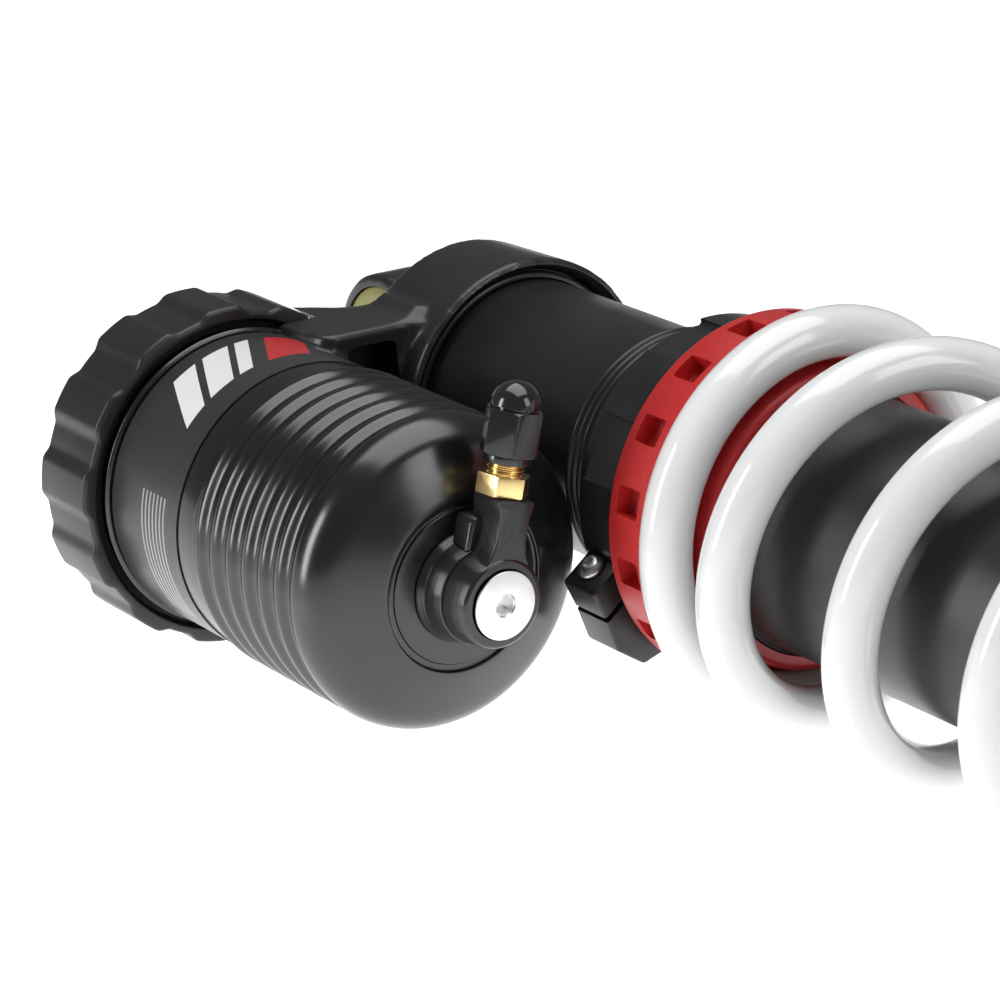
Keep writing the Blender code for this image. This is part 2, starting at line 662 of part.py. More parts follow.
def make_spring():
    """Coil spring with closed, ground ends."""
    total = spring_turns()
    count = int(total * SPRING_STEPS)
    curve = bpy.data.curves.new("wire", "CURVE")
    curve.dimensions = "3D"
    curve.bevel_depth = WIRE_R
    curve.bevel_resolution = 2
    curve.use_fill_caps = True
    spline = curve.splines.new("POLY")
    spline.points.add(count)
    phase = math.radians(-120)
    for i, point in enumerate(spline.points):
        turns = total * i / count
        angle = phase + 2 * math.pi * turns
        point.co = (spring_station(turns), -SPRING_R * math.cos(angle), SPRING_R * math.sin(angle), 1.0)
    wire = bpy.data.objects.new("wire", curve)
    PARTS.objects.link(wire)
    spring = as_part(as_mesh(wire), "spring", WHITE)
    low = block((SPRING_START - 0.0200, -0.0600, -0.0600), (SPRING_START, 0.0600, 0.0600))
    high = block((SPRING_END, -0.0600, -0.0600), (SPRING_END + 0.0200, 0.0600, 0.0600))
    cut(spring, low, high)


# ---------------------------------------------------------------- seal head
def make_seal_head():
    """Seal head with its rod bush, oil seal, dust wiper and retaining clip."""
    outer_r = TUBE_BORE_R - GAP
    outline = [
        (0.2360, outer_r), (0.2450, outer_r), (0.2450, outer_r - 0.0015), (0.2465, outer_r - 0.0015),
        (0.2465, outer_r), (TUBE_END + GAP, outer_r), (TUBE_END + GAP, 0.0278), (0.2605, 0.0278),
        (SEAL_FACE, 0.0262), (SEAL_FACE, 0.0140), (0.2575, 0.0140), (0.2575, 0.0110), (0.2525, 0.0110),
        (0.2525, 0.0150), (0.2465, 0.0150), (0.2465, 0.0115), (0.2360, 0.0115),
    ]
    as_part(turned(outline, sides=MEDIUM_ROUND), "seal_head", ANODISED)
    as_part(tube(0.2365, 0.2460, 0.0112, ROD_R + GAP, sides=SMALL_ROUND), "rod_bush", BUSH)
    as_part(tube(0.2470, 0.2520, 0.0146, ROD_R + GAP, sides=SMALL_ROUND), "rod_seal", RUBBER)
    wiper = [(0.2578, 0.0136), (0.2618, 0.0136), (0.2634, 0.0100), (0.2634, ROD_R + GAP), (0.2578, ROD_R + GAP)]
    as_part(turned(wiper, sides=SMALL_ROUND), "dust_wiper", RUBBER)
    clip = tube(0.2451, 0.2464, outer_r + 0.0001, outer_r - 0.0012, sides=MEDIUM_ROUND)
    as_part(clip, "seal_head_clip", STEEL)
    cut(clip, block((0.2400, -0.0020, 0.0), (0.2500, 0.0020, 0.0400)))
    as_part(tube(0.2290, 0.2350, 0.0150, ROD_R + GAP, sides=SMALL_ROUND), "top_out_bumper", RUBBER)


# ---------------------------------------------------------------- shaft assembly
def make_shaft():
    """Hollow rod with a stepped nose for the piston stack and a thread for the clevis."""
    nose = 0.0060
    outline = [(0.1960, nose), (0.2280, nose), (0.2280, ROD_R), (0.4360, ROD_R), (0.4360, 0.0042),
               (0.1960, 0.0042)]
    as_part(turned(outline, sides=MEDIUM_ROUND), "shaft", CHROME)
    piston_r = TUBE_BORE_R - GAP
    bore = nose + GAP
    piston = [
        (0.2090, piston_r), (0.2120, piston_r), (0.2120, piston_r - 0.0018), (0.2200, piston_r - 0.0018),
        (0.2200, piston_r), (0.2230, piston_r), (0.2230, bore), (0.2090, bore),
    ]
    made = turned(piston, sides=MEDIUM_ROUND)
    as_part(made, "main_piston", SILVER)
    cut(made, piston_ports())
    as_part(tube(0.2123, 0.2197, piston_r - 0.0001, piston_r - 0.0015), "piston_band", BUSH)
    as_part(tube(0.2233, 0.2277, 0.0180, bore, sides=SMALL_ROUND), "rebound_shims", STEEL)
    as_part(tube(0.2040, 0.2087, 0.0195, bore, sides=SMALL_ROUND), "compression_shims", STEEL)
    nut = hex_bar(0.1965, 0.2037, 0.0180)
    as_part(nut, "piston_nut", STEEL)
    cut(nut, bar(0.1900, 0.2100, bore, sides=SMALL_ROUND))


def piston_ports():
    """Oil ports of the piston, as one cutter of round bars."""
    mesh = bpy.data.meshes.new("ports")
    build = bmesh.new()
    for i in range(6):
        made = bmesh.ops.create_cone(build, cap_ends=True, segments=10, radius1=0.0024, radius2=0.0024,
                                     depth=0.0400)["verts"]
        bmesh.ops.transform(build, matrix=axis_matrix(0.2160, 0.0160, 2 * math.pi * i / 6), verts=made)
    build.to_mesh(mesh)
    build.free()
    obj = bpy.data.objects.new("ports", mesh)
    PARTS.objects.link(obj)
    return obj


def axis_matrix(station, radius, angle):
    """Turns an upright bar along X and puts it at a station, off the axis."""
    place = Matrix.Translation((station, radius * math.cos(angle), radius * math.sin(angle)))
    return place @ Matrix.Rotation(math.pi / 2, 4, "Y")


def make_rebound_adjuster():
    """Needle inside the rod, pushed by the cone of a cross screw in the clevis."""
    outline = [(0.2000, 0.0), (0.2060, 0.0036), (0.4385, 0.0036), (0.4400, 0.0024), (0.4400, 0.0)]
    as_part(turned(outline, sides=16, closed=False), "rebound_needle", SILVER)
    outline = [(-0.0192, 0.0), (-0.0192, 0.0048), (-0.0060, 0.0048), (-0.0030, 0.0030), (0.0040, 0.0030),
               (0.0040, 0.0)]
    screw = turned(outline, axis="Z", centre=(0.4440, 0.0), sides=SMALL_ROUND, closed=False)
    as_part(screw, "rebound_adjuster", BRASS)
    cut(screw, block((0.4380, -0.0006, -0.0210), (0.4500, 0.0006, -0.0180)))


def make_bump_stop():
    outline = [
        (SEAL_FACE + STROKE + 0.0018, 0.0125), (0.3925, 0.0150), (0.3955, 0.0128), (0.3985, 0.0168),
        (0.4015, 0.0140), (0.4050, 0.0180), (0.4078, 0.0180), (0.4078, ROD_R + GAP),
        (SEAL_FACE + STROKE + 0.0018, ROD_R + GAP),
    ]
    as_part(turned(outline, sides=MEDIUM_ROUND), "bump_stop", RUBBER)
    cup = [(0.4081, 0.0190), (CLEVIS_TOP - GAP, 0.0190), (CLEVIS_TOP - GAP, ROD_R + GAP), (0.4081, ROD_R + GAP)]
    as_part(turned(cup, sides=MEDIUM_ROUND), "bump_cup", ANODISED)


def make_lower_seat():
    """Lower spring seat, slotted so that it slides out past the rod."""
    outline = [
        (0.3950, 0.0318), (0.3962, 0.0330), (SPRING_END + GAP, 0.0330), (SPRING_END + GAP, 0.0440),
        (0.4072, 0.0450), (0.4085, 0.0440), (CLEVIS_TOP - GAP, 0.0280), (CLEVIS_TOP - GAP, 0.0200),
        (0.4040, 0.0200), (0.3950, 0.0270),
    ]
    seat = turned(outline)
    as_part(seat, "lower_spring_seat", ANODISED)
    cut(seat, block((0.3800, -0.0600, -0.0100), (0.4200, 0.0, 0.0100)))


def fork_outline():
    """Side view of the fork: straight sides that end in a half circle about the bolt hole."""
    points = [(0.4300, -0.0140), (0.4300, 0.0140)]
    steps = 16
    for i in range(steps + 1):
        angle = math.pi / 2 - math.pi * i / steps
        points.append((EYE_TO_EYE + EAR_R * math.cos(angle), EAR_R * math.sin(angle)))
    return points


def make_clevis():
    """Fork at the lower end: flange under the seat, body on the rod's thread, two ears with the bolt hole."""
    fork_start = 0.4560
    outline = [(CLEVIS_TOP, 0.0), (CLEVIS_TOP, 0.0270), (0.4165, 0.0270), (0.4190, 0.0190), (0.4540, 0.0190),
               (0.4540, 0.0)]
    clevis = turned(outline, sides=MEDIUM_ROUND, closed=False)
    as_part(clevis, "lower_clevis", ANODISED)
    half = FORK_GAP / 2 + EAR
    fork = plate([fork_outline()], -half, half, axis="Y")
    gap = block((fork_start, -FORK_GAP / 2, -0.0400), (EYE_TO_EYE + 0.0400, FORK_GAP / 2, 0.0400))
    gap_root = bar(-0.0400, 0.0400, FORK_GAP / 2 - GAP, axis="Z", centre=(fork_start + 0.0020, 0.0),
                   sides=MEDIUM_ROUND)
    rod_hole = bar(CLEVIS_TOP - 0.0100, 0.4402, ROD_R + GAP, sides=MEDIUM_ROUND)
    bolt_hole = bar(-0.0400, 0.0400, LOWER_BORE_R, axis="Y", centre=(EYE_TO_EYE, 0.0), sides=MEDIUM_ROUND)
    adjuster_hole = bar(-0.0400, 0.0050, 0.0051, axis="Z", centre=(0.4440, 0.0), sides=SMALL_ROUND)
    join(clevis, fork)
    cut(clevis, gap, gap_root, rod_hole, bolt_hole, adjuster_hole)


def build_shock():
    make_head_casting()
    make_body_tube()
    make_upper_bearing()
    make_end_ring()
    make_rear_plug()
    make_compression_adjuster()
    make_reservoir_cap()
    make_gas_piston()
    make_swivel()
    make_clamp_collar()
    make_preload_seat()
    make_spring()
    make_seal_head()
    make_shaft()
    make_rebound_adjuster()
    make_bump_stop()
    make_lower_seat()
    make_clevis()


build_shock()
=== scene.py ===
# %% [markdown]
# # Rear shock absorber with a piggyback reservoir
#
# This notebook dresses a motorcycle's rear shock. Its moving bodies are already built and come in as a
# frame. Each visible piece is made again here with its real roundings, and gets its finish.
# The damper lies along X, the reservoir hangs beside it at minus Y, and Z is up. All sizes are in metres.

# %% load the frame
import json
import math

import bmesh
import bpy
from mathutils import Matrix, Vector


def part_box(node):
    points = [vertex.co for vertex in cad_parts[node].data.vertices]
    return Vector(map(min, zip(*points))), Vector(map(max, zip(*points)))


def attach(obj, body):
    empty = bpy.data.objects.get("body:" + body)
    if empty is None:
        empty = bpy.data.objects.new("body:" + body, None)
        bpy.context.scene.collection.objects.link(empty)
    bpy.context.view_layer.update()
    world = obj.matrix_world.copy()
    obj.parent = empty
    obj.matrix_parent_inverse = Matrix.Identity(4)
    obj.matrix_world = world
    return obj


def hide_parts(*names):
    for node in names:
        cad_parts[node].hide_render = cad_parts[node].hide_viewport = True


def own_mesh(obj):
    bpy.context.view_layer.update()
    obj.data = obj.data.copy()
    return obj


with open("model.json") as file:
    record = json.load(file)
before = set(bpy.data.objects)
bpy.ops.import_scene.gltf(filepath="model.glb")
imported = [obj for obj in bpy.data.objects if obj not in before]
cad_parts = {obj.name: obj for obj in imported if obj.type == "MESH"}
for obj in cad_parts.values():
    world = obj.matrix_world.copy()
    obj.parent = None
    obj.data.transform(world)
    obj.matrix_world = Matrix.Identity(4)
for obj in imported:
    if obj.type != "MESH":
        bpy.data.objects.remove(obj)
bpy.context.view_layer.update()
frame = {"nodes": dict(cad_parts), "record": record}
scene = bpy.context.scene

# %% [markdown]
# ## Sizes shared by several pieces
# The two long axes and the stations that many pieces share are read from the frame, so that a change of
# the solid model moves everything here with it.

# %% read the stations
def low(node):
    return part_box(node)[0]


def high(node):
    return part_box(node)[1]


def middle(node):
    return (low(node) + high(node)) / 2


RES_Y = middle("reservoir_cap").y
RES_Z = middle("reservoir_cap").z
DAMPER = (0.0, 0.0)
RESERVOIR = (RES_Y, RES_Z)
VALVE_LEAN = math.radians(12.5)
GAP = 0.0003
ROUND = 160
print("reservoir axis at", round(RES_Y, 4), round(RES_Z, 4))

# %% [markdown]
# ## How the metal gets its look
# Turned parts carry fine rings left by the lathe. Along a cylinder they run round it, and on an end face
# they are circles, so one number serves both: the station along X plus the distance from the axis. A noise
# along that number makes the rings, and a second, larger noise changes the gloss a little from place to
# place, as fingerprints and handling do.

# %% node helpers
def link(tree, source, target):
    tree.links.new(source, target)


def math_node(tree, operation, a, b=None, c=None):
    node = tree.nodes.new("ShaderNodeMath")
    node.operation = operation
    for socket, value in zip(node.inputs, (a, b, c)):
        if value is None:
            continue
        if isinstance(value, (int, float)):
            socket.default_value = value
        else:
            link(tree, value, socket)
    return node.outputs[0]


def noise_node(tree, vector, scale, detail=2.0, dimensions="3D"):
    node = tree.nodes.new("ShaderNodeTexNoise")
    node.noise_dimensions = dimensions
    node.inputs["Scale"].default_value = scale
    node.inputs["Detail"].default_value = detail
    link(tree, vector, node.inputs["W" if dimensions == "1D" else "Vector"])
    return node.outputs[0]


def range_node(tree, value, from_low, from_high, to_low, to_high):
    node = tree.nodes.new("ShaderNodeMapRange")
    limits = {"From Min": from_low, "From Max": from_high, "To Min": to_low, "To Max": to_high}
    for name, number in limits.items():
        node.inputs[name].default_value = number
    link(tree, value, node.inputs["Value"])
    return node.outputs[0]


def mix_colour(tree, factor, first, second):
    node = tree.nodes.new("ShaderNodeMix")
    node.data_type = "RGBA"
    link(tree, factor, node.inputs["Factor"])
    for socket, value in ((node.inputs[6], first), (node.inputs[7], second)):
        if isinstance(value, tuple):
            socket.default_value = (*value, 1.0)
        else:
            link(tree, value, socket)
    return node.outputs[2]


def bump_node(tree, height, strength, distance):
    node = tree.nodes.new("ShaderNodeBump")
    node.inputs["Strength"].default_value = strength
    node.inputs["Distance"].default_value = distance
    link(tree, height, node.inputs["Height"])
    return node.outputs[0]


def new_material(name, metallic=0.0, coat=0.0, coat_roughness=0.05, specular=0.5):
    material = bpy.data.materials.new(name)
    material.use_nodes = True
    tree = material.node_tree
    shader = tree.nodes["Principled BSDF"]
    shader.inputs["Metallic"].default_value = metallic
    shader.inputs["Coat Weight"].default_value = coat
    shader.inputs["Coat Roughness"].default_value = coat_roughness
    shader.inputs["Specular IOR Level"].default_value = specular
    return material, tree, shader


def object_position(tree, shift=(0.0, 0.0, 0.0)):
    place = tree.nodes.new("ShaderNodeTexCoord").outputs["Object"]
    mapping = tree.nodes.new("ShaderNodeMapping")
    mapping.inputs["Location"].default_value = shift
    link(tree, place, mapping.inputs["Vector"])
    return mapping.outputs[0]


def split(tree, vector):
    node = tree.nodes.new("ShaderNodeSeparateXYZ")
    link(tree, vector, node.inputs[0])
    return node.outputs


def turned_metal(name, colour, roughness, centre=DAMPER, axis="X", rings=0.25, ring_size=0.00012, spread=0.05,
                 metallic=0.0, coat=0.0, specular=0.5, dust=0.0):
    """A finish with lathe rings about an axis: centre gives the axis's other two coordinates."""
    material, tree, shader = new_material(name, metallic, coat, specular=specular)
    shift = list(-c for c in centre)
    shift.insert("XYZ".index(axis), 0.0)
    place = object_position(tree, shift)
    parts = split(tree, place)
    others = [parts[i] for i in range(3) if "XYZ"[i] != axis]
    squares = [math_node(tree, "MULTIPLY", other, other) for other in others]
    radius = math_node(tree, "SQRT", math_node(tree, "ADD", squares[0], squares[1]))
    along = math_node(tree, "ADD", radius, parts["XYZ".index(axis)])
    lathe = noise_node(tree, along, 1.0 / ring_size, 3.0, "1D")
    cloud = noise_node(tree, place, 55.0, 4.0)
    fine = noise_node(tree, place, 2600.0, 2.0)
    gloss = range_node(tree, cloud, 0.3, 0.7, roughness - spread, roughness + spread)
    link(tree, gloss, shader.inputs["Roughness"])
    lighter = tuple(c * 1.35 + 0.004 for c in colour)
    shade = mix_colour(tree, cloud, colour, lighter)
    if dust:
        speck = range_node(tree, fine, 0.74, 0.80, 0.0, dust)
        shade = mix_colour(tree, speck, shade, (0.35, 0.35, 0.34))
    link(tree, shade, shader.inputs["Base Color"])
    link(tree, bump_node(tree, lathe, rings, 0.00004), shader.inputs["Normal"])
    return material


def plain_finish(name, colour, roughness, grain=0.2, grain_size=0.0006, metallic=0.0, coat=0.0, spread=0.06,
                 second=None, distance=0.00006, specular=0.5):
    """A finish with an even grain, for cast, moulded, coated and rubber pieces."""
    material, tree, shader = new_material(name, metallic, coat, specular=specular)
    place = object_position(tree)
    cloud = noise_node(tree, place, 40.0, 5.0)
    grains = noise_node(tree, place, 1.0 / grain_size, 3.0)
    gloss = range_node(tree, cloud, 0.3, 0.7, roughness - spread, roughness + spread)
    link(tree, gloss, shader.inputs["Roughness"])
    lighter = second or tuple(c * 1.3 + 0.003 for c in colour)
    link(tree, mix_colour(tree, cloud, colour, lighter), shader.inputs["Base Color"])
    link(tree, bump_node(tree, grains, grain, distance), shader.inputs["Normal"])
    return material


# %% make the finishes
casting = plain_finish("satin_black_casting", (0.012, 0.012, 0.013), 0.36, 0.10, 0.0009, coat=0.15)
tube_black = turned_metal("brushed_black_tube", (0.010, 0.010, 0.011), 0.34, rings=0.30, specular=0.6)
ring_black = turned_metal("satin_black_ring", (0.014, 0.014, 0.015), 0.36, RESERVOIR, rings=0.18)
cap_black = turned_metal("gloss_black_cap", (0.005, 0.005, 0.0055), 0.22, RESERVOIR, rings=0.10, spread=0.04,
                         specular=0.8, dust=0.25)
collar_black = turned_metal("satin_black_collar", (0.010, 0.010, 0.011), 0.34, rings=0.15)
arm_black = plain_finish("satin_black_arm", (0.010, 0.010, 0.011), 0.33, 0.10, 0.0003, specular=0.6)
boss_metal = turned_metal("turned_gloss_boss", (0.020, 0.020, 0.022), 0.20, RESERVOIR, rings=1.0,
                          ring_size=0.00040, metallic=0.35, specular=0.9)
bolt_metal = turned_metal("turned_bright_bolt", (0.72, 0.72, 0.72), 0.27, RESERVOIR, rings=0.5,
                          ring_size=0.00020, metallic=1.0)
brass = plain_finish("turned_brass", (0.86, 0.60, 0.22), 0.20, 0.12, 0.0004, metallic=1.0,
                     second=(0.92, 0.72, 0.36))
valve_black = plain_finish("gloss_black_valve_cap", (0.010, 0.010, 0.011), 0.17, 0.06, 0.0004, coat=0.5)
red = plain_finish("moulded_red", (0.46, 0.012, 0.014), 0.36, 0.45, 0.0016, second=(0.56, 0.035, 0.035),
                   distance=0.00012)
white = plain_finish("white_powder_coat", (0.82, 0.83, 0.83), 0.16, 0.05, 0.0016, coat=0.6, spread=0.03,
                     second=(0.86, 0.865, 0.865))
steel = plain_finish("machined_steel", (0.55, 0.55, 0.56), 0.28, 0.15, 0.0004, metallic=1.0)
silver = turned_metal("clear_anodised", (0.70, 0.70, 0.71), 0.30, axis="Y", metallic=1.0)
chrome = turned_metal("hard_chrome", (0.78, 0.78, 0.80), 0.07, rings=0.03, spread=0.02, metallic=1.0)
rubber = plain_finish("black_rubber", (0.016, 0.016, 0.016), 0.62, 0.35, 0.0009)
olive = plain_finish("olive_seal_rubber", (0.24, 0.23, 0.05), 0.50, 0.25, 0.0007, second=(0.34, 0.32, 0.12))
bronze = plain_finish("bronze_bearing", (0.34, 0.22, 0.12), 0.42, 0.20, 0.0004)
print(len(bpy.data.materials), "finishes")

# %% [markdown]
# ## Tools for shaping
# Most of the shock is turned, so a profile spun about an axis makes most pieces. Real corners are never
# sharp: each corner of a profile is rounded before it is spun, because the bright line along an edge is
# what makes it look machined.

# %% shaping helpers
def softened(profile, radius, steps=3):
    """The profile with each inner corner replaced by a short curve."""
    points = [Vector(p) for p in profile]
    rounded = [points[0]]
    for before, corner, after in zip(points, points[1:], points[2:]):
        back, ahead = before - corner, after - corner
        reach = min(radius, back.length * 0.45, ahead.length * 0.45)
        start = corner + back.normalized() * reach
        end = corner + ahead.normalized() * reach
        for i in range(steps + 1):
            t = i / steps
            rounded.append(start * (1 - t) ** 2 + corner * 2 * t * (1 - t) + end * t * t)
    rounded.append(points[-1])
    return rounded


def to_axis(axis, station, a, b):
    """A point from its station on an axis and its other two coordinates, in X, Y, Z order."""
    point = [a, b]
    point.insert("XYZ".index(axis), station)
    return point


def spun(profile, axis="X", centre=DAMPER, sides=ROUND):
    """A mesh turned about an axis. A profile that starts and ends on the axis is solid, any other one is
    closed into a ring."""
    solid = profile[0][1] < 1e-7 and profile[-1][1] < 1e-7
    shape = bmesh.new()
    rows = []
    for station, radius in profile:
        count = 1 if radius < 1e-7 else sides
        row = []
        for i in range(count):
            angle = 2 * math.pi * i / sides
            row.append(shape.verts.new(to_axis(axis, station, centre[0] + radius * math.cos(angle),
                                               centre[1] + radius * math.sin(angle))))
        rows.append(row)
    pairs = list(zip(rows, rows[1:]))
    if not solid:
        pairs.append((rows[-1], rows[0]))
    for first, second in pairs:
        for i in range(sides):
            j = (i + 1) % sides
            corners = [first[i % len(first)], first[j % len(first)],
                       second[j % len(second)], second[i % len(second)]]
            face = list(dict.fromkeys(corners))
            if len(face) > 2:
                shape.faces.new(face)
    bmesh.ops.recalc_face_normals(shape, faces=shape.faces)
    return as_mesh(shape)


def drill(start, end, radius, axis="X", centre=DAMPER, sides=ROUND):
    """A plain cylinder between two stations, to cut a bore with."""
    return spun([(start, 0.0), (start, radius), (end, radius), (end, 0.0)], axis, centre, sides)


def as_mesh(shape):
    mesh = bpy.data.meshes.new("shape")
    shape.to_mesh(mesh)
    shape.free()
    return mesh


def slab(outline, start, end, axis="X"):
    """An outline of (a, b) points made solid between two stations along an axis."""
    shape = bmesh.new()
    lower = [shape.verts.new(to_axis(axis, start, a, b)) for a, b in outline]
    upper = [shape.verts.new(to_axis(axis, end, a, b)) for a, b in outline]
    shape.faces.new(lower)
    shape.faces.new(upper[::-1])
    for i in range(len(outline)):
        j = (i + 1) % len(outline)
        shape.faces.new((lower[i], upper[i], upper[j], lower[j]))
    bmesh.ops.recalc_face_normals(shape, faces=shape.faces)
    return as_mesh(shape)


def circle(radius, count, centre=(0.0, 0.0), turn=0.0):
    angles = [turn + 2 * math.pi * i / count for i in range(count)]
    return [(centre[0] + radius * math.cos(a), centre[1] + radius * math.sin(a)) for a in angles]


def hexagon(across, centre=(0.0, 0.0), turn=0.0):
    return circle(across / math.sqrt(3), 6, centre, turn)


def cuboid(low_corner, high_corner):
    a, b = low_corner, high_corner
    return slab([(a[0], a[1]), (b[0], a[1]), (b[0], b[1]), (a[0], b[1])], a[2], b[2], axis="Z")


def holder(mesh, name="shape"):
    obj = bpy.data.objects.new(name, mesh)
    scene.collection.objects.link(obj)
    return obj


def baked(obj):
    """The mesh of an object as its modifiers leave it, with its place in the mesh. The object is removed."""
    bpy.context.view_layer.update()
    graph = bpy.context.evaluated_depsgraph_get()
    mesh = bpy.data.meshes.new_from_object(obj.evaluated_get(graph), depsgraph=graph)
    mesh.transform(obj.matrix_world)
    bpy.data.objects.remove(obj, do_unlink=True)
    return mesh


def combine(mesh, others, operation):
    """Joins or cuts a mesh with others, one after another."""
    body = holder(mesh)
    helpers = []
    for other in others:
        helper = holder(other)
        modifier = body.modifiers.new(operation, "BOOLEAN")
        modifier.operation = operation
        modifier.object = helper
        helpers.append(helper)
    result = baked(body)
    for helper in helpers:
        bpy.data.objects.remove(helper, do_unlink=True)
    return result


def bevelled(mesh, width, segments=2, angle=35.0):
    """Rounds the edges of a mesh that are sharper than an angle."""
    body = holder(mesh)
    weld = body.modifiers.new("weld", "WELD")
    weld.merge_threshold = 0.00001
    modifier = body.modifiers.new("round", "BEVEL")
    modifier.width = width
    modifier.segments = segments
    modifier.limit_method = "ANGLE"
    modifier.angle_limit = math.radians(angle)
    modifier.use_clamp_overlap = True
    modifier.harden_normals = False
    return baked(body)


def piece(name, mesh, material, slot, body, *nodes, sharp=40.0):
    """Puts a finished mesh into the scene, gives it its finish and lets it ride on its body."""
    mesh.name = name
    mesh.materials.clear()
    mesh.materials.append(material)
    mesh.shade_smooth()
    mesh.set_sharp_from_angle(angle=math.radians(sharp))
    obj = holder(mesh, name)
    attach(obj, body)
    if nodes:
        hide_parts(*nodes)
    print(name, len(mesh.polygons), "faces")
    return obj


# %% [markdown]
# ## Repeats with Geometry Nodes
# Tool pockets and recesses repeat round an axis. One tree places copies of a small shape on a ring
# about the X axis; the count, the radius, the station and the first angle are its inputs, so the same
# tree serves both rings of pockets on the shock.

# %% the ring tree
def add_inputs(tree, inputs):
    for name, kind, default in inputs:
        socket = tree.interface.new_socket(name, in_out="INPUT", socket_type=kind)
        if default is not None:
            socket.default_value = default
    tree.interface.new_socket("Geometry", in_out="OUTPUT", socket_type="NodeSocketGeometry")


def geo_math(tree, operation, a, b=0.0, c=0.0):
    return math_node(tree, operation, a, b, c)


def ring_tree():
    tree = bpy.data.node_groups.new("ring_of_copies", "GeometryNodeTree")
    add_inputs(tree, [("Geometry", "NodeSocketGeometry", None), ("Shape", "NodeSocketObject", None),
                      ("Count", "NodeSocketInt", 12), ("Radius", "NodeSocketFloat", 0.04),
                      ("Station", "NodeSocketFloat", 0.0), ("First Angle", "NodeSocketFloat", 0.0),
                      ("Centre Y", "NodeSocketFloat", 0.0), ("Centre Z", "NodeSocketFloat", 0.0),
                      ("Finish", "NodeSocketMaterial", None)])
    entry = tree.nodes.new("NodeGroupInput").outputs
    points = tree.nodes.new("GeometryNodePoints")
    link(tree, entry["Count"], points.inputs["Count"])
    index = tree.nodes.new("GeometryNodeInputIndex").outputs[0]
    share = geo_math(tree, "DIVIDE", index, entry["Count"])
    angle = geo_math(tree, "MULTIPLY_ADD", share, 2 * math.pi, entry["First Angle"])
    place = tree.nodes.new("ShaderNodeCombineXYZ")
    link(tree, entry["Station"], place.inputs[0])
    across = geo_math(tree, "MULTIPLY", geo_math(tree, "COSINE", angle), entry["Radius"])
    link(tree, geo_math(tree, "ADD", across, entry["Centre Y"]), place.inputs[1])
    upward = geo_math(tree, "MULTIPLY", geo_math(tree, "SINE", angle), entry["Radius"])
    link(tree, geo_math(tree, "ADD", upward, entry["Centre Z"]), place.inputs[2])
    move = tree.nodes.new("GeometryNodeSetPosition")
    link(tree, points.outputs[0], move.inputs["Geometry"])
    link(tree, place.outputs[0], move.inputs["Position"])
    turn = tree.nodes.new("ShaderNodeCombineXYZ")
    link(tree, angle, turn.inputs[0])
    shape = tree.nodes.new("GeometryNodeObjectInfo")
    link(tree, entry["Shape"], shape.inputs["Object"])
    copies = tree.nodes.new("GeometryNodeInstanceOnPoints")
    link(tree, move.outputs[0], copies.inputs["Points"])
    link(tree, shape.outputs["Geometry"], copies.inputs["Instance"])
    link(tree, turn.outputs[0], copies.inputs["Rotation"])
    real = tree.nodes.new("GeometryNodeRealizeInstances")
    link(tree, copies.outputs[0], real.inputs[0])
    finish = tree.nodes.new("GeometryNodeSetMaterial")
    link(tree, real.outputs[0], finish.inputs["Geometry"])
    link(tree, entry["Finish"], finish.inputs["Material"])
    link(tree, finish.outputs[0], tree.nodes.new("NodeGroupOutput").inputs[0])
    return tree


RING = ring_tree()


def run_tree(tree, values):
    """The mesh that a tree makes from named inputs."""
    carrier = holder(bpy.data.meshes.new("carrier"))
    modifier = carrier.modifiers.new("tree", "NODES")
    modifier.node_group = tree
    names = {item.name: item.identifier for item in tree.interface.items_tree if item.in_out == "INPUT"}
    for name, value in values.items():
        modifier[names[name]] = value
    return baked(carrier)


def ring_of(shape_mesh, count, radius, station, first_angle, centre=DAMPER, finish=None):
    """Copies of a shape round the X axis. The shape's own Y points outwards."""
    shape = holder(shape_mesh)
    mesh = run_tree(RING, {"Shape": shape, "Count": count, "Radius": radius, "Station": station,
                           "First Angle": first_angle, "Centre Y": centre[0], "Centre Z": centre[1],
                           "Finish": finish})
    bpy.data.objects.remove(shape, do_unlink=True)
    return mesh


print("ring tree has", len(RING.nodes), "nodes")

# %% [markdown]
# ## Coil spring
# The spring is one wire wound on a rule: flat closed turns at each end, a short lift, and free turns at a
# steady pitch. A tree can follow the same rule point by point, so the turns, the pitch and the wire stay
# adjustable. The climb of the wire is used three times, so it gets a small tree of its own.

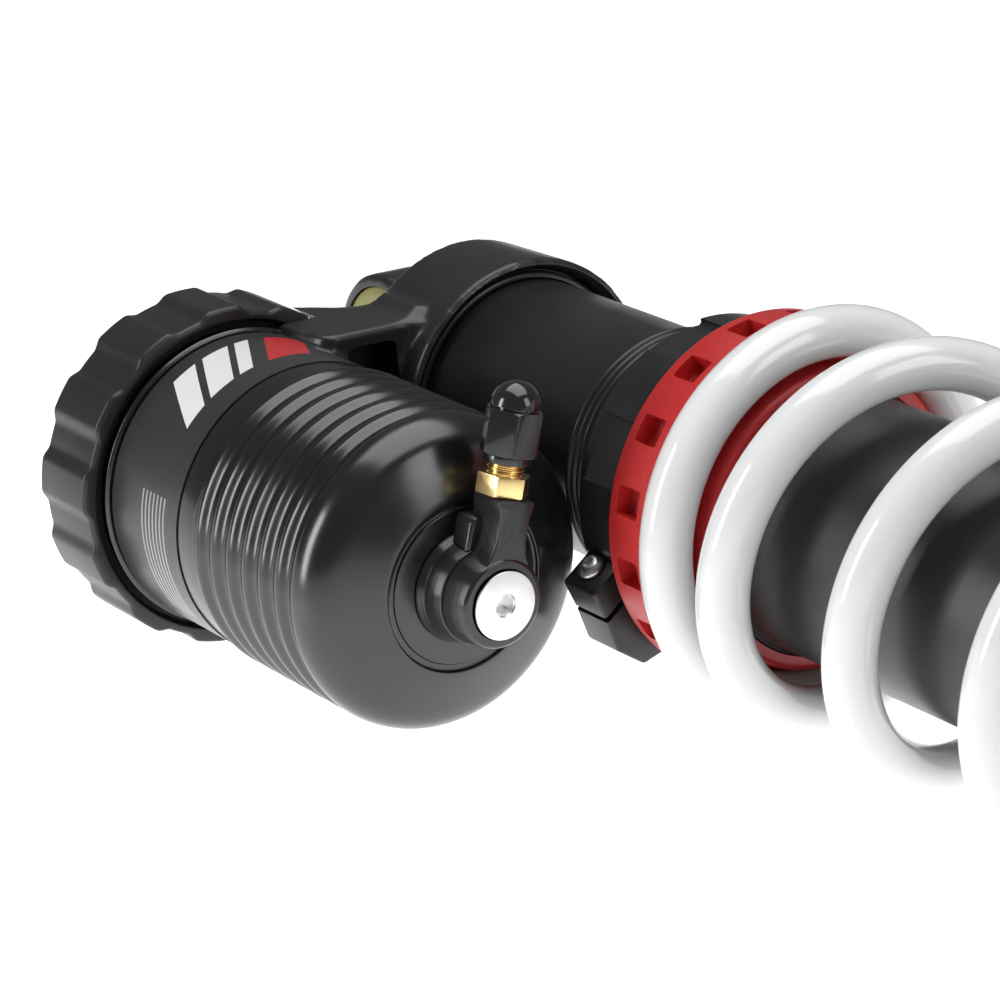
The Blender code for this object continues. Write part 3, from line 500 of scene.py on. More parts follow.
# %% the climb and coil trees
def climb_tree():
    tree = bpy.data.node_groups.new("climb", "GeometryNodeTree")
    for name in ("Turns", "Pitch", "End Rise", "Closed", "Lift"):
        tree.interface.new_socket(name, in_out="INPUT", socket_type="NodeSocketFloat")
    tree.interface.new_socket("Rise", in_out="OUTPUT", socket_type="NodeSocketFloat")
    entry = tree.nodes.new("NodeGroupInput").outputs
    lifted = geo_math(tree, "MAXIMUM", geo_math(tree, "SUBTRACT", entry["Turns"], entry["Closed"]), 0.0)
    share = geo_math(tree, "MINIMUM", geo_math(tree, "DIVIDE", lifted, entry["Lift"]), 1.0)
    cube = geo_math(tree, "POWER", share, 3.0)
    fourth = geo_math(tree, "MULTIPLY", geo_math(tree, "POWER", share, 4.0), 0.5)
    curved = geo_math(tree, "MULTIPLY", geo_math(tree, "SUBTRACT", cube, fourth), entry["Lift"])
    straight = geo_math(tree, "MAXIMUM", geo_math(tree, "SUBTRACT", lifted, entry["Lift"]), 0.0)
    steep = geo_math(tree, "SUBTRACT", entry["Pitch"], entry["End Rise"])
    steep_part = geo_math(tree, "MULTIPLY", geo_math(tree, "ADD", curved, straight), steep)
    flat_part = geo_math(tree, "MULTIPLY", entry["Turns"], entry["End Rise"])
    link(tree, geo_math(tree, "ADD", steep_part, flat_part), tree.nodes.new("NodeGroupOutput").inputs[0])
    return tree


CLIMB = climb_tree()


def coil_tree():
    tree = bpy.data.node_groups.new("coil_spring", "GeometryNodeTree")
    add_inputs(tree, [("Geometry", "NodeSocketGeometry", None), ("Points", "NodeSocketInt", 800),
                      ("All Turns", "NodeSocketFloat", 8.0), ("Pitch", "NodeSocketFloat", 0.039),
                      ("End Rise", "NodeSocketFloat", 0.002), ("Closed", "NodeSocketFloat", 0.64),
                      ("Lift", "NodeSocketFloat", 0.476), ("Coil Radius", "NodeSocketFloat", 0.0395),
                      ("Wire Radius", "NodeSocketFloat", 0.0055), ("Start", "NodeSocketFloat", 0.15),
                      ("First Angle", "NodeSocketFloat", 0.0), ("Finish", "NodeSocketMaterial", None)])
    entry = tree.nodes.new("NodeGroupInput").outputs

    def climb(turns):
        node = tree.nodes.new("GeometryNodeGroup")
        node.node_tree = CLIMB
        link(tree, turns, node.inputs["Turns"])
        for name in ("Pitch", "End Rise", "Closed", "Lift"):
            link(tree, entry[name], node.inputs[name])
        return node.outputs[0]

    line = tree.nodes.new("GeometryNodeMeshLine")
    link(tree, entry["Points"], line.inputs["Count"])
    index = tree.nodes.new("GeometryNodeInputIndex").outputs[0]
    last = geo_math(tree, "SUBTRACT", entry["Points"], 1.0)
    turns = geo_math(tree, "MULTIPLY", geo_math(tree, "DIVIDE", index, last), entry["All Turns"])
    half = geo_math(tree, "MULTIPLY", entry["All Turns"], 0.5)
    first_half = climb(geo_math(tree, "MINIMUM", turns, half))
    left = geo_math(tree, "MINIMUM", geo_math(tree, "SUBTRACT", entry["All Turns"], turns), half)
    second_half = geo_math(tree, "SUBTRACT", climb(half), climb(left))
    station = geo_math(tree, "ADD", geo_math(tree, "ADD", first_half, second_half), entry["Start"])
    angle = geo_math(tree, "MULTIPLY_ADD", turns, 2 * math.pi, entry["First Angle"])
    place = tree.nodes.new("ShaderNodeCombineXYZ")
    link(tree, station, place.inputs[0])
    sideways = geo_math(tree, "MULTIPLY", geo_math(tree, "COSINE", angle), entry["Coil Radius"])
    link(tree, geo_math(tree, "MULTIPLY", sideways, -1.0), place.inputs[1])
    upward = geo_math(tree, "MULTIPLY", geo_math(tree, "SINE", angle), entry["Coil Radius"])
    link(tree, upward, place.inputs[2])
    move = tree.nodes.new("GeometryNodeSetPosition")
    link(tree, line.outputs[0], move.inputs["Geometry"])
    link(tree, place.outputs[0], move.inputs["Position"])
    path = tree.nodes.new("GeometryNodeMeshToCurve")
    link(tree, move.outputs[0], path.inputs[0])
    section = tree.nodes.new("GeometryNodeCurvePrimitiveCircle")
    section.inputs["Resolution"].default_value = 40
    link(tree, entry["Wire Radius"], section.inputs["Radius"])
    sweep = tree.nodes.new("GeometryNodeCurveToMesh")
    sweep.inputs["Fill Caps"].default_value = True
    link(tree, path.outputs[0], sweep.inputs[0])
    link(tree, section.outputs[0], sweep.inputs[1])
    real = tree.nodes.new("GeometryNodeRealizeInstances")
    link(tree, sweep.outputs[0], real.inputs[0])
    finish = tree.nodes.new("GeometryNodeSetMaterial")
    link(tree, real.outputs[0], finish.inputs["Geometry"])
    link(tree, entry["Finish"], finish.inputs["Material"])
    link(tree, finish.outputs[0], tree.nodes.new("NodeGroupOutput").inputs[0])
    return tree


COIL = coil_tree()
print("coil tree has", len(COIL.nodes), "nodes")

# %% [markdown]
# The wire's ends are ground flat where they bear on their seats, so two blocks cut them there.

# %% make the spring
SPRING_LOW, SPRING_HIGH = low("spring").x, high("spring").x
WIRE, GRIND, PITCH, END_RISE, CLOSED, LIFT = 0.0055, 0.0005, 0.03905, 0.0020, 0.64, 0.476
wound = SPRING_HIGH - SPRING_LOW - 2 * (WIRE - GRIND)
all_turns = (wound + (PITCH - END_RISE) * (2 * CLOSED + LIFT)) / PITCH
coil_mesh = run_tree(COIL, {"Points": 900, "All Turns": all_turns, "Pitch": PITCH, "End Rise": END_RISE,
                            "Closed": CLOSED, "Lift": LIFT, "Coil Radius": 0.0395, "Wire Radius": WIRE,
                            "Start": SPRING_LOW + WIRE - GRIND, "First Angle": math.radians(-120),
                            "Finish": white})
ends = [cuboid((SPRING_LOW - 0.02, -0.06, -0.06), (SPRING_LOW, 0.06, 0.06)),
        cuboid((SPRING_HIGH, -0.06, -0.06), (SPRING_HIGH + 0.02, 0.06, 0.06))]
coil_mesh = combine(coil_mesh, ends, "DIFFERENCE")
spring = piece("coil_spring", coil_mesh, white, "white_powder_coat", "damper_body", "spring", sharp=50.0)
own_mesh(spring)

# %% [markdown]
# ## Damper tube
# The tube is turned from one bar: a plain upper part, a threaded part for the preload collar, and a
# slightly thicker lower part. The thread is drawn as a row of rounded grooves.

# %% make the tube
TUBE_LOW, TUBE_HIGH = low("body_tube").x, high("body_tube").x
THREAD_FIRST = 0.1033


def thread_profile(start, end, crest, pitch=0.0020, depth=0.0010):
    points = []
    steps = 8
    for i in range(int((end - start) / pitch) * steps + 1):
        wave = 0.5 + 0.5 * math.cos(2 * math.pi * i / steps)
        points.append((start + pitch * i / steps, crest - depth * wave ** 1.5))
    return points


tube_profile = softened([(TUBE_LOW, 0.0250), (TUBE_LOW, 0.0275), (THREAD_FIRST - 0.0008, 0.0275)], 0.0004)
tube_profile += thread_profile(THREAD_FIRST, 0.1600, 0.0290)
tube_profile += softened([(0.1606, 0.0280), (TUBE_HIGH, 0.0280), (TUBE_HIGH, 0.0250)], 0.0006)
piece("damper_tube", spun(tube_profile), tube_black, "black_anodised", "damper_body", "body_tube")

# %% [markdown]
# ## Head casting
# The eye, the ring that holds the tube, the bridge and the reservoir housing are one casting, and soft
# fillets run where they meet. The rough shapes are put together, remeshed as one skin and relaxed, which
# rounds every meeting line as a casting mould does. The bores are cut afterwards, so they stay crisp.

# %% rough shapes of the casting
HEAD_BACK, HEAD_FRONT = 0.0238, 0.0505
BRIDGE_FRONT, BRIDGE_TOP, BRIDGE_LOW = 0.0434, 0.0220, -0.0240


def fillet_wedge(height, sign):
    """Section (y, z) of the filling between the bridge's face and the round of the ring."""
    rises = [(-0.0320, -0.0030), (-0.0312, 0.0), (-0.0282, 0.0003), (-0.0258, 0.0011), (-0.0238, 0.0026),
             (-0.0220, 0.0016), (-0.0150, -0.0030)]
    return [(y, sign * (height + rise)) for y, rise in rises]


rough = [
    spun([(HEAD_BACK, 0.0), (HEAD_BACK, 0.0318), (HEAD_FRONT, 0.0326), (HEAD_FRONT, 0.0)], sides=96),
    drill(-0.0070, 0.0070, 0.0190, "Y", sides=96),
    cuboid((0.0, -0.0068, -0.0168), (HEAD_BACK + 0.004, 0.0068, 0.0168)),
    slab([(0.0470, -0.0150), (0.0458, -0.0240), (BRIDGE_FRONT, -0.0290), (BRIDGE_FRONT, -0.0480),
          (0.0415, -0.0500), (0.0330, -0.0520), (0.0150, -0.0530), (0.0150, -0.0435), (0.0190, -0.0385),
          (0.0236, -0.0330), (0.0262, -0.0270), (0.0270, -0.0150)], BRIDGE_LOW, BRIDGE_TOP, axis="Z"),
    slab(fillet_wedge(BRIDGE_TOP, 1), 0.0262, 0.0422),
    slab(fillet_wedge(-BRIDGE_LOW, -1), 0.0262, 0.0422),
    spun([(0.0130, 0.0300), (0.0130, 0.0330), (0.0574, 0.0330), (0.0574, 0.0300)], "X", RESERVOIR, 128),
]
shape = bmesh.new()
for part in rough:
    shape.from_mesh(part)
casting_mesh = as_mesh(shape)
print("rough casting:", len(casting_mesh.polygons), "faces")

# %% one skin, then the cuts
pocket = cuboid((BRIDGE_FRONT - 0.0095, -0.0445, BRIDGE_LOW + 0.0050),
                (BRIDGE_FRONT + 0.010, -0.0312, BRIDGE_TOP - 0.0036))
skin = holder(casting_mesh)
remesh = skin.modifiers.new("skin", "REMESH")
remesh.mode = "VOXEL"
remesh.voxel_size = 0.0009
relax = skin.modifiers.new("relax", "SMOOTH")
relax.factor = 0.5
relax.iterations = 9
casting_mesh = baked(skin)
RACE_BORE, SEAL_BORE, SEAL_FACE, EYE_REACH = 0.0133, 0.0162, 0.0052, 0.0200
ring_room = [(0.0060, 0.0328), (0.0060, 0.0399), (0.0276, 0.0399), (0.0276, 0.0328)]
lead_in = [(0.0462, 0.0), (0.0462, 0.0293), (0.0472, 0.0296), (0.0520, 0.0320), (0.0520, 0.0)]
cuts = [
    spun(ring_room, "X", RESERVOIR, 150),
    drill(0.0, 0.0700, 0.0300, "X", RESERVOIR, 150),
    drill(0.0363, 0.0700, 0.0278, sides=150),
    drill(0.0290, 0.0380, 0.0200, sides=64),
    drill(-EYE_REACH, EYE_REACH, RACE_BORE, "Y", sides=96),
    spun(lead_in, sides=150),
    drill(-EYE_REACH, -SEAL_FACE, SEAL_BORE, "Y", sides=96),
    drill(SEAL_FACE, EYE_REACH, SEAL_BORE, "Y", sides=96),
    bevelled(pocket, 0.0022, 3),
]
casting_mesh = combine(casting_mesh, cuts, "DIFFERENCE")
piece("head_casting_skin", casting_mesh, casting, "black_casting", "damper_body", "head_casting", sharp=42.0)
rim = [(0.0464, 0.0278), (0.0464, 0.0290), (0.0478, 0.0292), (0.0484, 0.0286), (0.0484, 0.0278)]
piece("head_ring_bead", spun(softened(rim, 0.0004)), tube_black, "black_anodised", "damper_body")

# %% [markdown]
# ## Upper bearing
# A spherical bearing sits in the eye: a pressed race, a ball with two spacers, and an olive seal on each
# side that keeps the dirt out.

# %% make the upper bearing
race_half, ball_half, ball_r, bore_r, steps = 0.0048, 0.0056, 0.0098, 0.0060, 16
race_profile = [(-race_half, 0.0130), (race_half, 0.0130)]
ball_profile = [(-ball_half, bore_r)]
for i in range(steps + 1):
    x = race_half - 2 * race_half * i / steps
    race_profile.append((x, math.sqrt((ball_r + GAP) ** 2 - x * x)))
    x = -ball_half + 2 * ball_half * i / steps
    ball_profile.append((x, math.sqrt(ball_r ** 2 - x * x)))
ball_profile.append((ball_half, bore_r))
piece("bearing_race", spun(race_profile, "Y", sides=96), steel, "steel", "damper_body", "upper_bearing_race")
piece("bearing_ball", spun(ball_profile, "Y", sides=96), steel, "steel", "upper_ball", "upper_bearing_ball")
for side, sign in (("left", -1), ("right", 1)):
    lip = [(0.0054, 0.0092), (0.0054, 0.0160), (0.0064, 0.0160), (0.0069, 0.0140), (0.0060, 0.0112),
           (0.0069, 0.0092)]
    sleeve = [(0.0059, bore_r), (0.0059, 0.0086), (0.0140, 0.0086), (0.0140, bore_r)]
    lip = [(sign * x, r) for x, r in softened(lip, 0.0004)]
    sleeve = [(sign * x, r) for x, r in softened(sleeve + sleeve[:1], 0.0005)[:-1]]
    piece("bearing_seal_" + side, spun(lip, "Y", sides=96), olive, "olive_seal", "damper_body",
          "upper_seal_" + side)
    piece("bolt_spacer_" + side, spun(sleeve, "Y", sides=96), silver, "silver_aluminium", "upper_ball",
          "upper_spacer_" + side)

# %% [markdown]
# ## Reservoir end ring
# A scalloped ring screws onto the head end of the reservoir. A form cutter leaves thirteen soft flutes along
# its whole length. The ring is turned first and its wall is then drawn inwards along each flute, so that the
# chamfers follow the wave, as they do on the real ring. Cutting boxes out would leave sharp, flat notches.

# %% make the end ring
RING_LOW, RING_HIGH = low("reservoir_end_ring").x, high("reservoir_end_ring").x
RING_FRONT = RING_HIGH + 0.0021
FLUTES, FLUTE_DEPTH, FLUTE_CENTRE, FLUTE_HALF = 13, 0.0014, math.radians(78), math.radians(8.8)


def flute_depth(angle):
    """How far the flutes reach in at an angle from +Y. Each flute has a flat bottom and soft ends."""
    step = 2 * math.pi / FLUTES
    offset = (angle - FLUTE_CENTRE + step / 2) % step - step / 2
    share = min(1.0, max(0.0, (abs(offset) / FLUTE_HALF - 0.4) / 0.6))
    return FLUTE_DEPTH * (0.5 + 0.5 * math.cos(math.pi * share))


def fluted(mesh):
    """Draws the outer wall of a ring inwards along its flutes. Its inner side stays round."""
    for vertex in mesh.vertices:
        y, z = vertex.co.y - RES_Y, vertex.co.z - RES_Z
        radius = math.hypot(y, z)
        share = min(1.0, max(0.0, (radius - 0.0364) / 0.0012))
        scale = 1 - share * flute_depth(math.atan2(z, y)) / radius
        vertex.co.y, vertex.co.z = RES_Y + y * scale, RES_Z + z * scale
    return mesh


ring_profile = [
    (RING_LOW, 0.0262), (RING_LOW, 0.0382), (RING_LOW + 0.0008, 0.0394), (RING_FRONT - 0.0006, 0.0394),
    (RING_FRONT, 0.0388), (RING_FRONT, 0.0361), (RING_FRONT - 0.0022, 0.0355), (RING_FRONT - 0.0024, 0.0334),
    (RING_LOW + 0.0025, 0.0334), (RING_LOW + 0.0025, 0.0262),
]
end_ring = fluted(spun(softened(ring_profile + ring_profile[:1], 0.0004)[:-1], centre=RESERVOIR, sides=390))
piece("scalloped_end_ring", end_ring, ring_black, "black_anodised", "damper_body", "reservoir_end_ring",
      sharp=38.0)
bead = [(RING_FRONT + 0.0001, 0.0331), (RING_FRONT + 0.0001, 0.0341), (RING_FRONT + 0.0008, 0.0346),
        (RING_FRONT + 0.0015, 0.0341), (RING_FRONT + 0.0016, 0.0331)]
piece("reservoir_bead", spun(softened(bead, 0.0003), centre=RESERVOIR), cap_black, "gloss_black_anodised",
      "damper_body")

# %% [markdown]
# ## Label
# The film wrapped round the reservoir is dark grey, with a few slanted shapes and a block of fine bars.
# The pattern is drawn from two numbers: the station along the reservoir and the angle round it.

# %% label finish
def between(tree, value, start, end):
    above = math_node(tree, "GREATER_THAN", value, start)
    below = math_node(tree, "LESS_THAN", value, end)
    return math_node(tree, "MULTIPLY", above, below)


def label_finish():
    material, tree, shader = new_material("label_film", coat=0.25, coat_roughness=0.2)
    place = object_position(tree, (0.0, -RES_Y, -RES_Z))
    x, y, z = split(tree, place)
    angle = math_node(tree, "ARCTAN2", z, math_node(tree, "MULTIPLY", y, -1.0))
    degrees = math_node(tree, "MULTIPLY", angle, 180 / math.pi)
    slanted = math_node(tree, "MULTIPLY_ADD", x, 900.0, degrees)
    band = between(tree, x, 0.0345, 0.0500)
    marks = None
    for start, end in ((86.0, 97.0), (100.5, 112.0), (115.0, 121.0)):
        bar = math_node(tree, "MULTIPLY", band, between(tree, slanted, start, end))
        marks = bar if marks is None else math_node(tree, "MAXIMUM", marks, bar)
    red_bar = math_node(tree, "MULTIPLY", band, between(tree, slanted, 128.0, 146.0))
    lines = math_node(tree, "PINGPONG", math_node(tree, "MULTIPLY", x, 1000.0), 0.75)
    fine = math_node(tree, "MULTIPLY", between(tree, x, 0.0420, 0.0530), between(tree, degrees, -38.0, 14.0))
    fine = math_node(tree, "MULTIPLY", fine, math_node(tree, "GREATER_THAN", lines, 0.48))
    grain = noise_node(tree, place, 1400.0, 2.0)
    film = mix_colour(tree, grain, (0.022, 0.022, 0.023), (0.034, 0.034, 0.036))
    shade = mix_colour(tree, marks, film, (0.78, 0.78, 0.77))
    shade = mix_colour(tree, red_bar, shade, (0.52, 0.02, 0.025))
    shade = mix_colour(tree, math_node(tree, "MULTIPLY", fine, 0.55), shade, (0.62, 0.62, 0.61))
    link(tree, shade, shader.inputs["Base Color"])
    link(tree, range_node(tree, grain, 0.3, 0.7, 0.36, 0.46), shader.inputs["Roughness"])
    link(tree, bump_node(tree, grain, 0.12, 0.00005), shader.inputs["Normal"])
    return material


film = label_finish()
label_low, label_high = low("reservoir_label").x, high("reservoir_label").x
label_mesh = spun([(label_low, 0.0333), (label_low, 0.0336), (label_high, 0.0336), (label_high, 0.0333)],
                  centre=RESERVOIR, sides=220)
label_mesh = combine(label_mesh, [cuboid((0.020, -0.0522, -0.0272), (0.0440, -0.010, 0.030)),
                                  cuboid((0.040, -0.0345, -0.024), (0.0511, -0.020, 0.016))], "DIFFERENCE")
piece("wrapped_label", label_mesh, film, "label_film", "damper_body", "reservoir_label")

# %% [markdown]
# ## Reservoir cap
# The cap is turned with seven soft ribs that shed heat, a plain shoulder and a shallow cone at its end.
# The ribs are a wave along the profile, so they catch the light as smooth ripples.

# %% make the cap
CAP_END = high("reservoir_cap").x


def cap_profile():
    rib_start, pitch, depth, crest, steps = 0.0640, 0.0064, 0.0011, 0.0345, 24
    root = crest - depth
    points = softened([(0.0577, 0.0280), (0.0577, root), (rib_start - 0.0002, root)], 0.0003)
    for i in range(int(6.5 * steps) + 1):
        wave = 0.5 - 0.5 * math.cos(2 * math.pi * i / steps)
        points.append((rib_start + pitch * i / steps, crest - depth * (1 - wave)))
    shoulder, arc = points[-1][0], 0.0091
    for i in range(1, 17):
        angle = math.radians(60) * i / 16
        points.append((shoulder + arc * math.sin(angle), crest - arc * (1 - math.cos(angle))))
    face, groove = CAP_END - 0.0003, CAP_END - 0.0009
    points += softened([(0.1146, 0.0278), (face, 0.0200), (CAP_END, 0.0188), (groove, 0.0187),
                        (groove, 0.0172), (face, 0.0171), (face, 0.0043)], 0.0004)
    points += [(0.1115, 0.0043), (0.1110, 0.0120), (0.1085, 0.0210), (0.1045, 0.0280)]
    return points


piece("ribbed_reservoir_cap", spun(cap_profile(), centre=RESERVOIR, sides=220), cap_black,
      "gloss_black_anodised", "damper_body", "reservoir_cap", sharp=48.0)

# %% [markdown]
# ## Head end of the reservoir
# Behind the scalloped ring sit the rear plug and the compression adjuster: a hexagon body, a smaller
# hexagon for the high-speed setting and a slotted screw for the low-speed setting.

# %% make the rear plug and adjusters
plug_low, plug_high = low("reservoir_rear_plug").x, high("reservoir_rear_plug").x
plug = [(plug_low, 0.0093), (plug_low, 0.0327), (0.0127, 0.0327), (0.0127, 0.0297), (plug_high, 0.0297),
        (plug_high, 0.0093)]
piece("rear_plug", spun(softened(plug, 0.0005), centre=RESERVOIR), ring_black, "black_anodised",
      "damper_body", "reservoir_rear_plug")


def hex_piece(start, end, across, bore, chamfer, centre=RESERVOIR, axis="X", turn=0.0):
    """A hexagon whose corners are turned off at both ends, with a bore."""
    prism = slab(hexagon(across, centre, turn), start, end, axis)
    corner = across / math.sqrt(3)
    wide, narrow = corner + 0.0004, corner - chamfer - 0.0006
    cone = [(start - 0.001, 0.0), (start - 0.001, narrow), (start + chamfer, wide),
            (end - chamfer, wide), (end + 0.001, narrow), (end + 0.001, 0.0)]
    mesh = combine(prism, [spun(cone, axis, centre, 72)], "INTERSECT")
    if bore:
        mesh = combine(mesh, [drill(start - 0.01, end + 0.01, bore, axis, centre, 48)], "DIFFERENCE")
    return mesh


adjuster_low = low("compression_adjuster_body").x
adjuster = hex_piece(adjuster_low, plug_low - GAP, 0.0240, 0.0044, 0.0008)
piece("compression_hexagon", bevelled(adjuster, 0.0002), steel, "steel", "damper_body",
      "compression_adjuster_body")
nut_low, nut_high = low("high_speed_nut").x, high("high_speed_nut").x
piece("high_speed_hexagon", bevelled(hex_piece(nut_low, nut_high, 0.0170, 0.0044, 0.0007), 0.0002), arm_black,
      "black_anodised", "high_speed_nut", "high_speed_nut")
screw_low, screw_high = low("low_speed_screw").x, high("low_speed_screw").x
screw = [(screw_low, 0.0), (screw_low, 0.0041), (0.0272, 0.0041), (screw_high, 0.0012), (screw_high, 0.0)]
screw = spun(softened(screw, 0.0004), centre=RESERVOIR, sides=64)
slot_cut = cuboid((screw_low - 0.002, RES_Y - 0.006, RES_Z - 0.0005),
                  (screw_low + 0.0013, RES_Y + 0.006, RES_Z + 0.0005))
piece("low_speed_slotted_screw", combine(screw, [slot_cut], "DIFFERENCE"), brass, "brass", "low_speed_screw",
      "low_speed_screw")

# %% [markdown]
# ## Swivel gas valve
# The valve stands on an arm that a countersunk bolt holds to the cap, so it can be turned out of the way.
# Boss and arm are turned in glossy black and the bolt is bright. The valve is brass, and a small black cap
# closes it.

# %% boss and bolt
boss_low, boss_high = low("swivel_boss").x, high("swivel_boss").x
boss = [(boss_low, 0.0045), (boss_low, 0.0123), (boss_low + 0.0006, 0.0120), (boss_low + 0.0020, 0.0113),
        (boss_high, 0.0107), (boss_high, 0.0045)]
piece("turned_boss", spun(softened(boss, 0.0003), centre=RESERVOIR), boss_metal, "silver_aluminium",
      "damper_body", "swivel_boss")
BOLT_FACE = high("swivel_bolt").x
bolt = [(0.1130, 0.0), (0.1130, 0.0039), (0.1286, 0.0039), (0.1319, 0.0074), (BOLT_FACE, 0.0074),
        (BOLT_FACE, 0.0)]
bolt_mesh = spun(softened(bolt, 0.0003), centre=RESERVOIR)
socket = slab(hexagon(0.0042, RESERVOIR, 0.4), BOLT_FACE - 0.0026, BOLT_FACE + 0.004)
lead_in = spun([(BOLT_FACE - 0.0004, 0.0), (BOLT_FACE - 0.0004, 0.0023), (BOLT_FACE + 0.0008, 0.0030),
                (BOLT_FACE + 0.0008, 0.0)], centre=RESERVOIR, sides=64)
piece("countersunk_bolt", combine(bolt_mesh, [socket, lead_in], "DIFFERENCE"), bolt_metal, "silver_aluminium",
      "damper_body", "swivel_bolt", sharp=30.0)

# %% [markdown]
# The arm is modelled upright about the bolt axis and then leant over. Its hub is turned in one pass with the
# boss below it, so the two read as one cone. A slim neck rises from it, and behind the neck a wider wing
# follows the boss. The neck is milled with concave sides.

# %% the arm
LEAN = Matrix.Translation((0.0, RES_Y, RES_Z)) @ Matrix.Rotation(-VALVE_LEAN, 4, "X")
VALVE_X = 0.1249
ON_VALVE = (VALVE_X, 0.0)
ARM_FRONT = 0.1316


def leant(mesh):
    mesh.transform(LEAN)
    return mesh


def both_sides(side):
    """A closed outline from its right side, listed from the bottom up."""
    return side + [(-a, b) for a, b in side[::-1]]


neck_side = [(0.0066, 0.0040), (0.0064, 0.0066), (0.0053, 0.0084), (0.0043, 0.0104), (0.0038, 0.0128),
             (0.0036, 0.0156), (0.0037, 0.0180), (0.0041, 0.0194), (0.0043, 0.0202), (0.0043, 0.0215)]
wing_side = [(0.0060, 0.0040), (0.0060, 0.0150), (0.0054, 0.0161), (0.0046, 0.0166)]
hub = [(0.1248, 0.0), (0.1248, 0.0105), (0.1310, 0.0096), (ARM_FRONT, 0.0090), (ARM_FRONT, 0.0)]
hub = spun(softened(hub, 0.0003))
neck = bevelled(slab(both_sides(neck_side), 0.1212, 0.1311), 0.0004, 3, 30)
wing = bevelled(slab(both_sides(wing_side), 0.1186, 0.1246), 0.0008, 4, 30)
arm = combine(hub, [neck, wing], "UNION")
arm_cuts = [
    spun([(0.1100, 0.0), (0.1100, 0.0125), (0.1204, 0.0117), (0.1246, 0.0110), (0.1246, 0.0)], sides=128),
    spun([(0.110, 0.0), (0.110, 0.0043), (0.1282, 0.0043), (0.1317, 0.0078), (0.140, 0.0078), (0.140, 0.0)],
         sides=96),
    drill(0.0150, 0.030, 0.0031, "Z", ON_VALVE, 48),
]
arm = combine(arm, arm_cuts, "DIFFERENCE")
piece("valve_swivel_arm", leant(arm), boss_metal, "black_anodised", "valve_swivel", "valve_arm", sharp=35.0)

# %% [markdown]
# Brass stem with its hexagon and thread, and the black cap: a hexagon between a collar and a dome.

# %% stem and cap
THREAD_STEP, THREAD_TURN = 0.0001, 2 * math.pi / 12
THREAD_MIDDLE, THREAD_HALF = 0.00375, 0.00028
stem = [(0.0152, 0.0020), (0.0152, 0.0028), (0.0256, 0.0028), (0.0258, 0.0037)]
for i in range(94):
    stem.append((0.0260 + THREAD_STEP * i, THREAD_MIDDLE + THREAD_HALF * math.cos(i * THREAD_TURN)))
stem += [(0.0355, 0.0033), (0.0355, 0.0020)]
stem_mesh = spun(stem, "Z", ON_VALVE, 72)
piece("valve_brass_thread", leant(stem_mesh), brass, "brass", "valve_swivel", "valve_stem", sharp=60.0)
seat_hex = hex_piece(0.0218, 0.0260, 0.0100, 0.0031, 0.0006, ON_VALVE, "Z", 0.2)
piece("valve_brass_hexagon", leant(bevelled(seat_hex, 0.00015)), brass, "brass", "valve_swivel")

dome_r, dome_base = 0.0053, 0.0402
dome = softened([(0.0372, 0.0), (0.0372, 0.0041), (0.0284, 0.0041), (0.0284, 0.0049), (0.0300, 0.0050),
                 (0.0303, 0.0046), (0.0310, 0.0046), (dome_base, 0.0046)], 0.0002)
for i in range(16):
    rise = math.pi / 2 * i / 16
    dome.append((dome_base + dome_r * math.sin(rise), dome_r * math.cos(rise)))
dome.append((dome_base + dome_r, 0.0))
cap_hex = hex_piece(0.0302, 0.0396, 0.0110, 0.0043, 0.0009, ON_VALVE, "Z", 0.55)
piece("valve_cap_dome", leant(spun(dome, "Z", ON_VALVE, 72)), valve_black, "gloss_black_anodised",
      "valve_cap", "valve_cap", sharp=45.0)
piece("valve_cap_hexagon", leant(bevelled(cap_hex, 0.00025, 3)), valve_black, "gloss_black_anodised",
      "valve_cap")

# %% [markdown]
# ## Preload collar
# The collar is a split ring with tool recesses round it. A pinch screw through two lugs clamps it on the
# thread. The recesses are cut by a ring of blocks, seven in all.

# %% make the collar
COLLAR_LOW, COLLAR_HIGH = low("clamp_collar").x, high("clamp_collar").x
LUG = math.radians(218)
PINCH_AXIS = (0.1224, 0.0356)


def lug_frame():
    """Turns a shape drawn with its Y outwards along the split and its Z across it."""
    outward = Vector((0.0, math.cos(LUG), math.sin(LUG)))
    across = Vector((0.0, -math.sin(LUG), math.cos(LUG)))
    rows = Matrix(((1.0, 0.0, 0.0), (0.0, outward.y, across.y), (0.0, outward.z, across.z)))
    return rows.to_4x4()


AT_LUG = lug_frame()


def at_lug(mesh):
    mesh.transform(AT_LUG)
    return mesh


collar_profile = [(COLLAR_LOW, 0.0290), (COLLAR_LOW, 0.0314), (COLLAR_LOW + 0.0012, 0.0322),
                  (COLLAR_LOW + 0.0042, 0.0322), (COLLAR_LOW + 0.0046, 0.0350), (COLLAR_HIGH, 0.0350),
                  (COLLAR_HIGH, 0.0290)]
collar = spun(softened(collar_profile, 0.0004))
recess = bevelled(cuboid((-0.0110, 0.0, -0.0074), (0.0110, 0.0060, 0.0074)), 0.0006, 2)
recesses = ring_of(recess, 7, 0.0328, (COLLAR_LOW + COLLAR_HIGH) / 2 + 0.0022, math.radians(180 - 22.3))
collar = combine(collar, [recesses], "DIFFERENCE")
lugs = slab([(0.0310, -0.0118), (0.0410, -0.0118), (0.0424, -0.0045), (0.0447, 0.0034), (0.0420, 0.0112),
             (0.0360, 0.0134), (0.0310, 0.0130)], COLLAR_LOW + 0.0046, COLLAR_HIGH - 0.0048)
collar = combine(collar, [at_lug(bevelled(lugs, 0.0007, 3))], "UNION")
bore = drill(0.09, 0.16, 0.0293, sides=150)
split_cut = at_lug(cuboid((0.09, 0.0200, -0.0052), (0.16, 0.0520, -0.0039)))
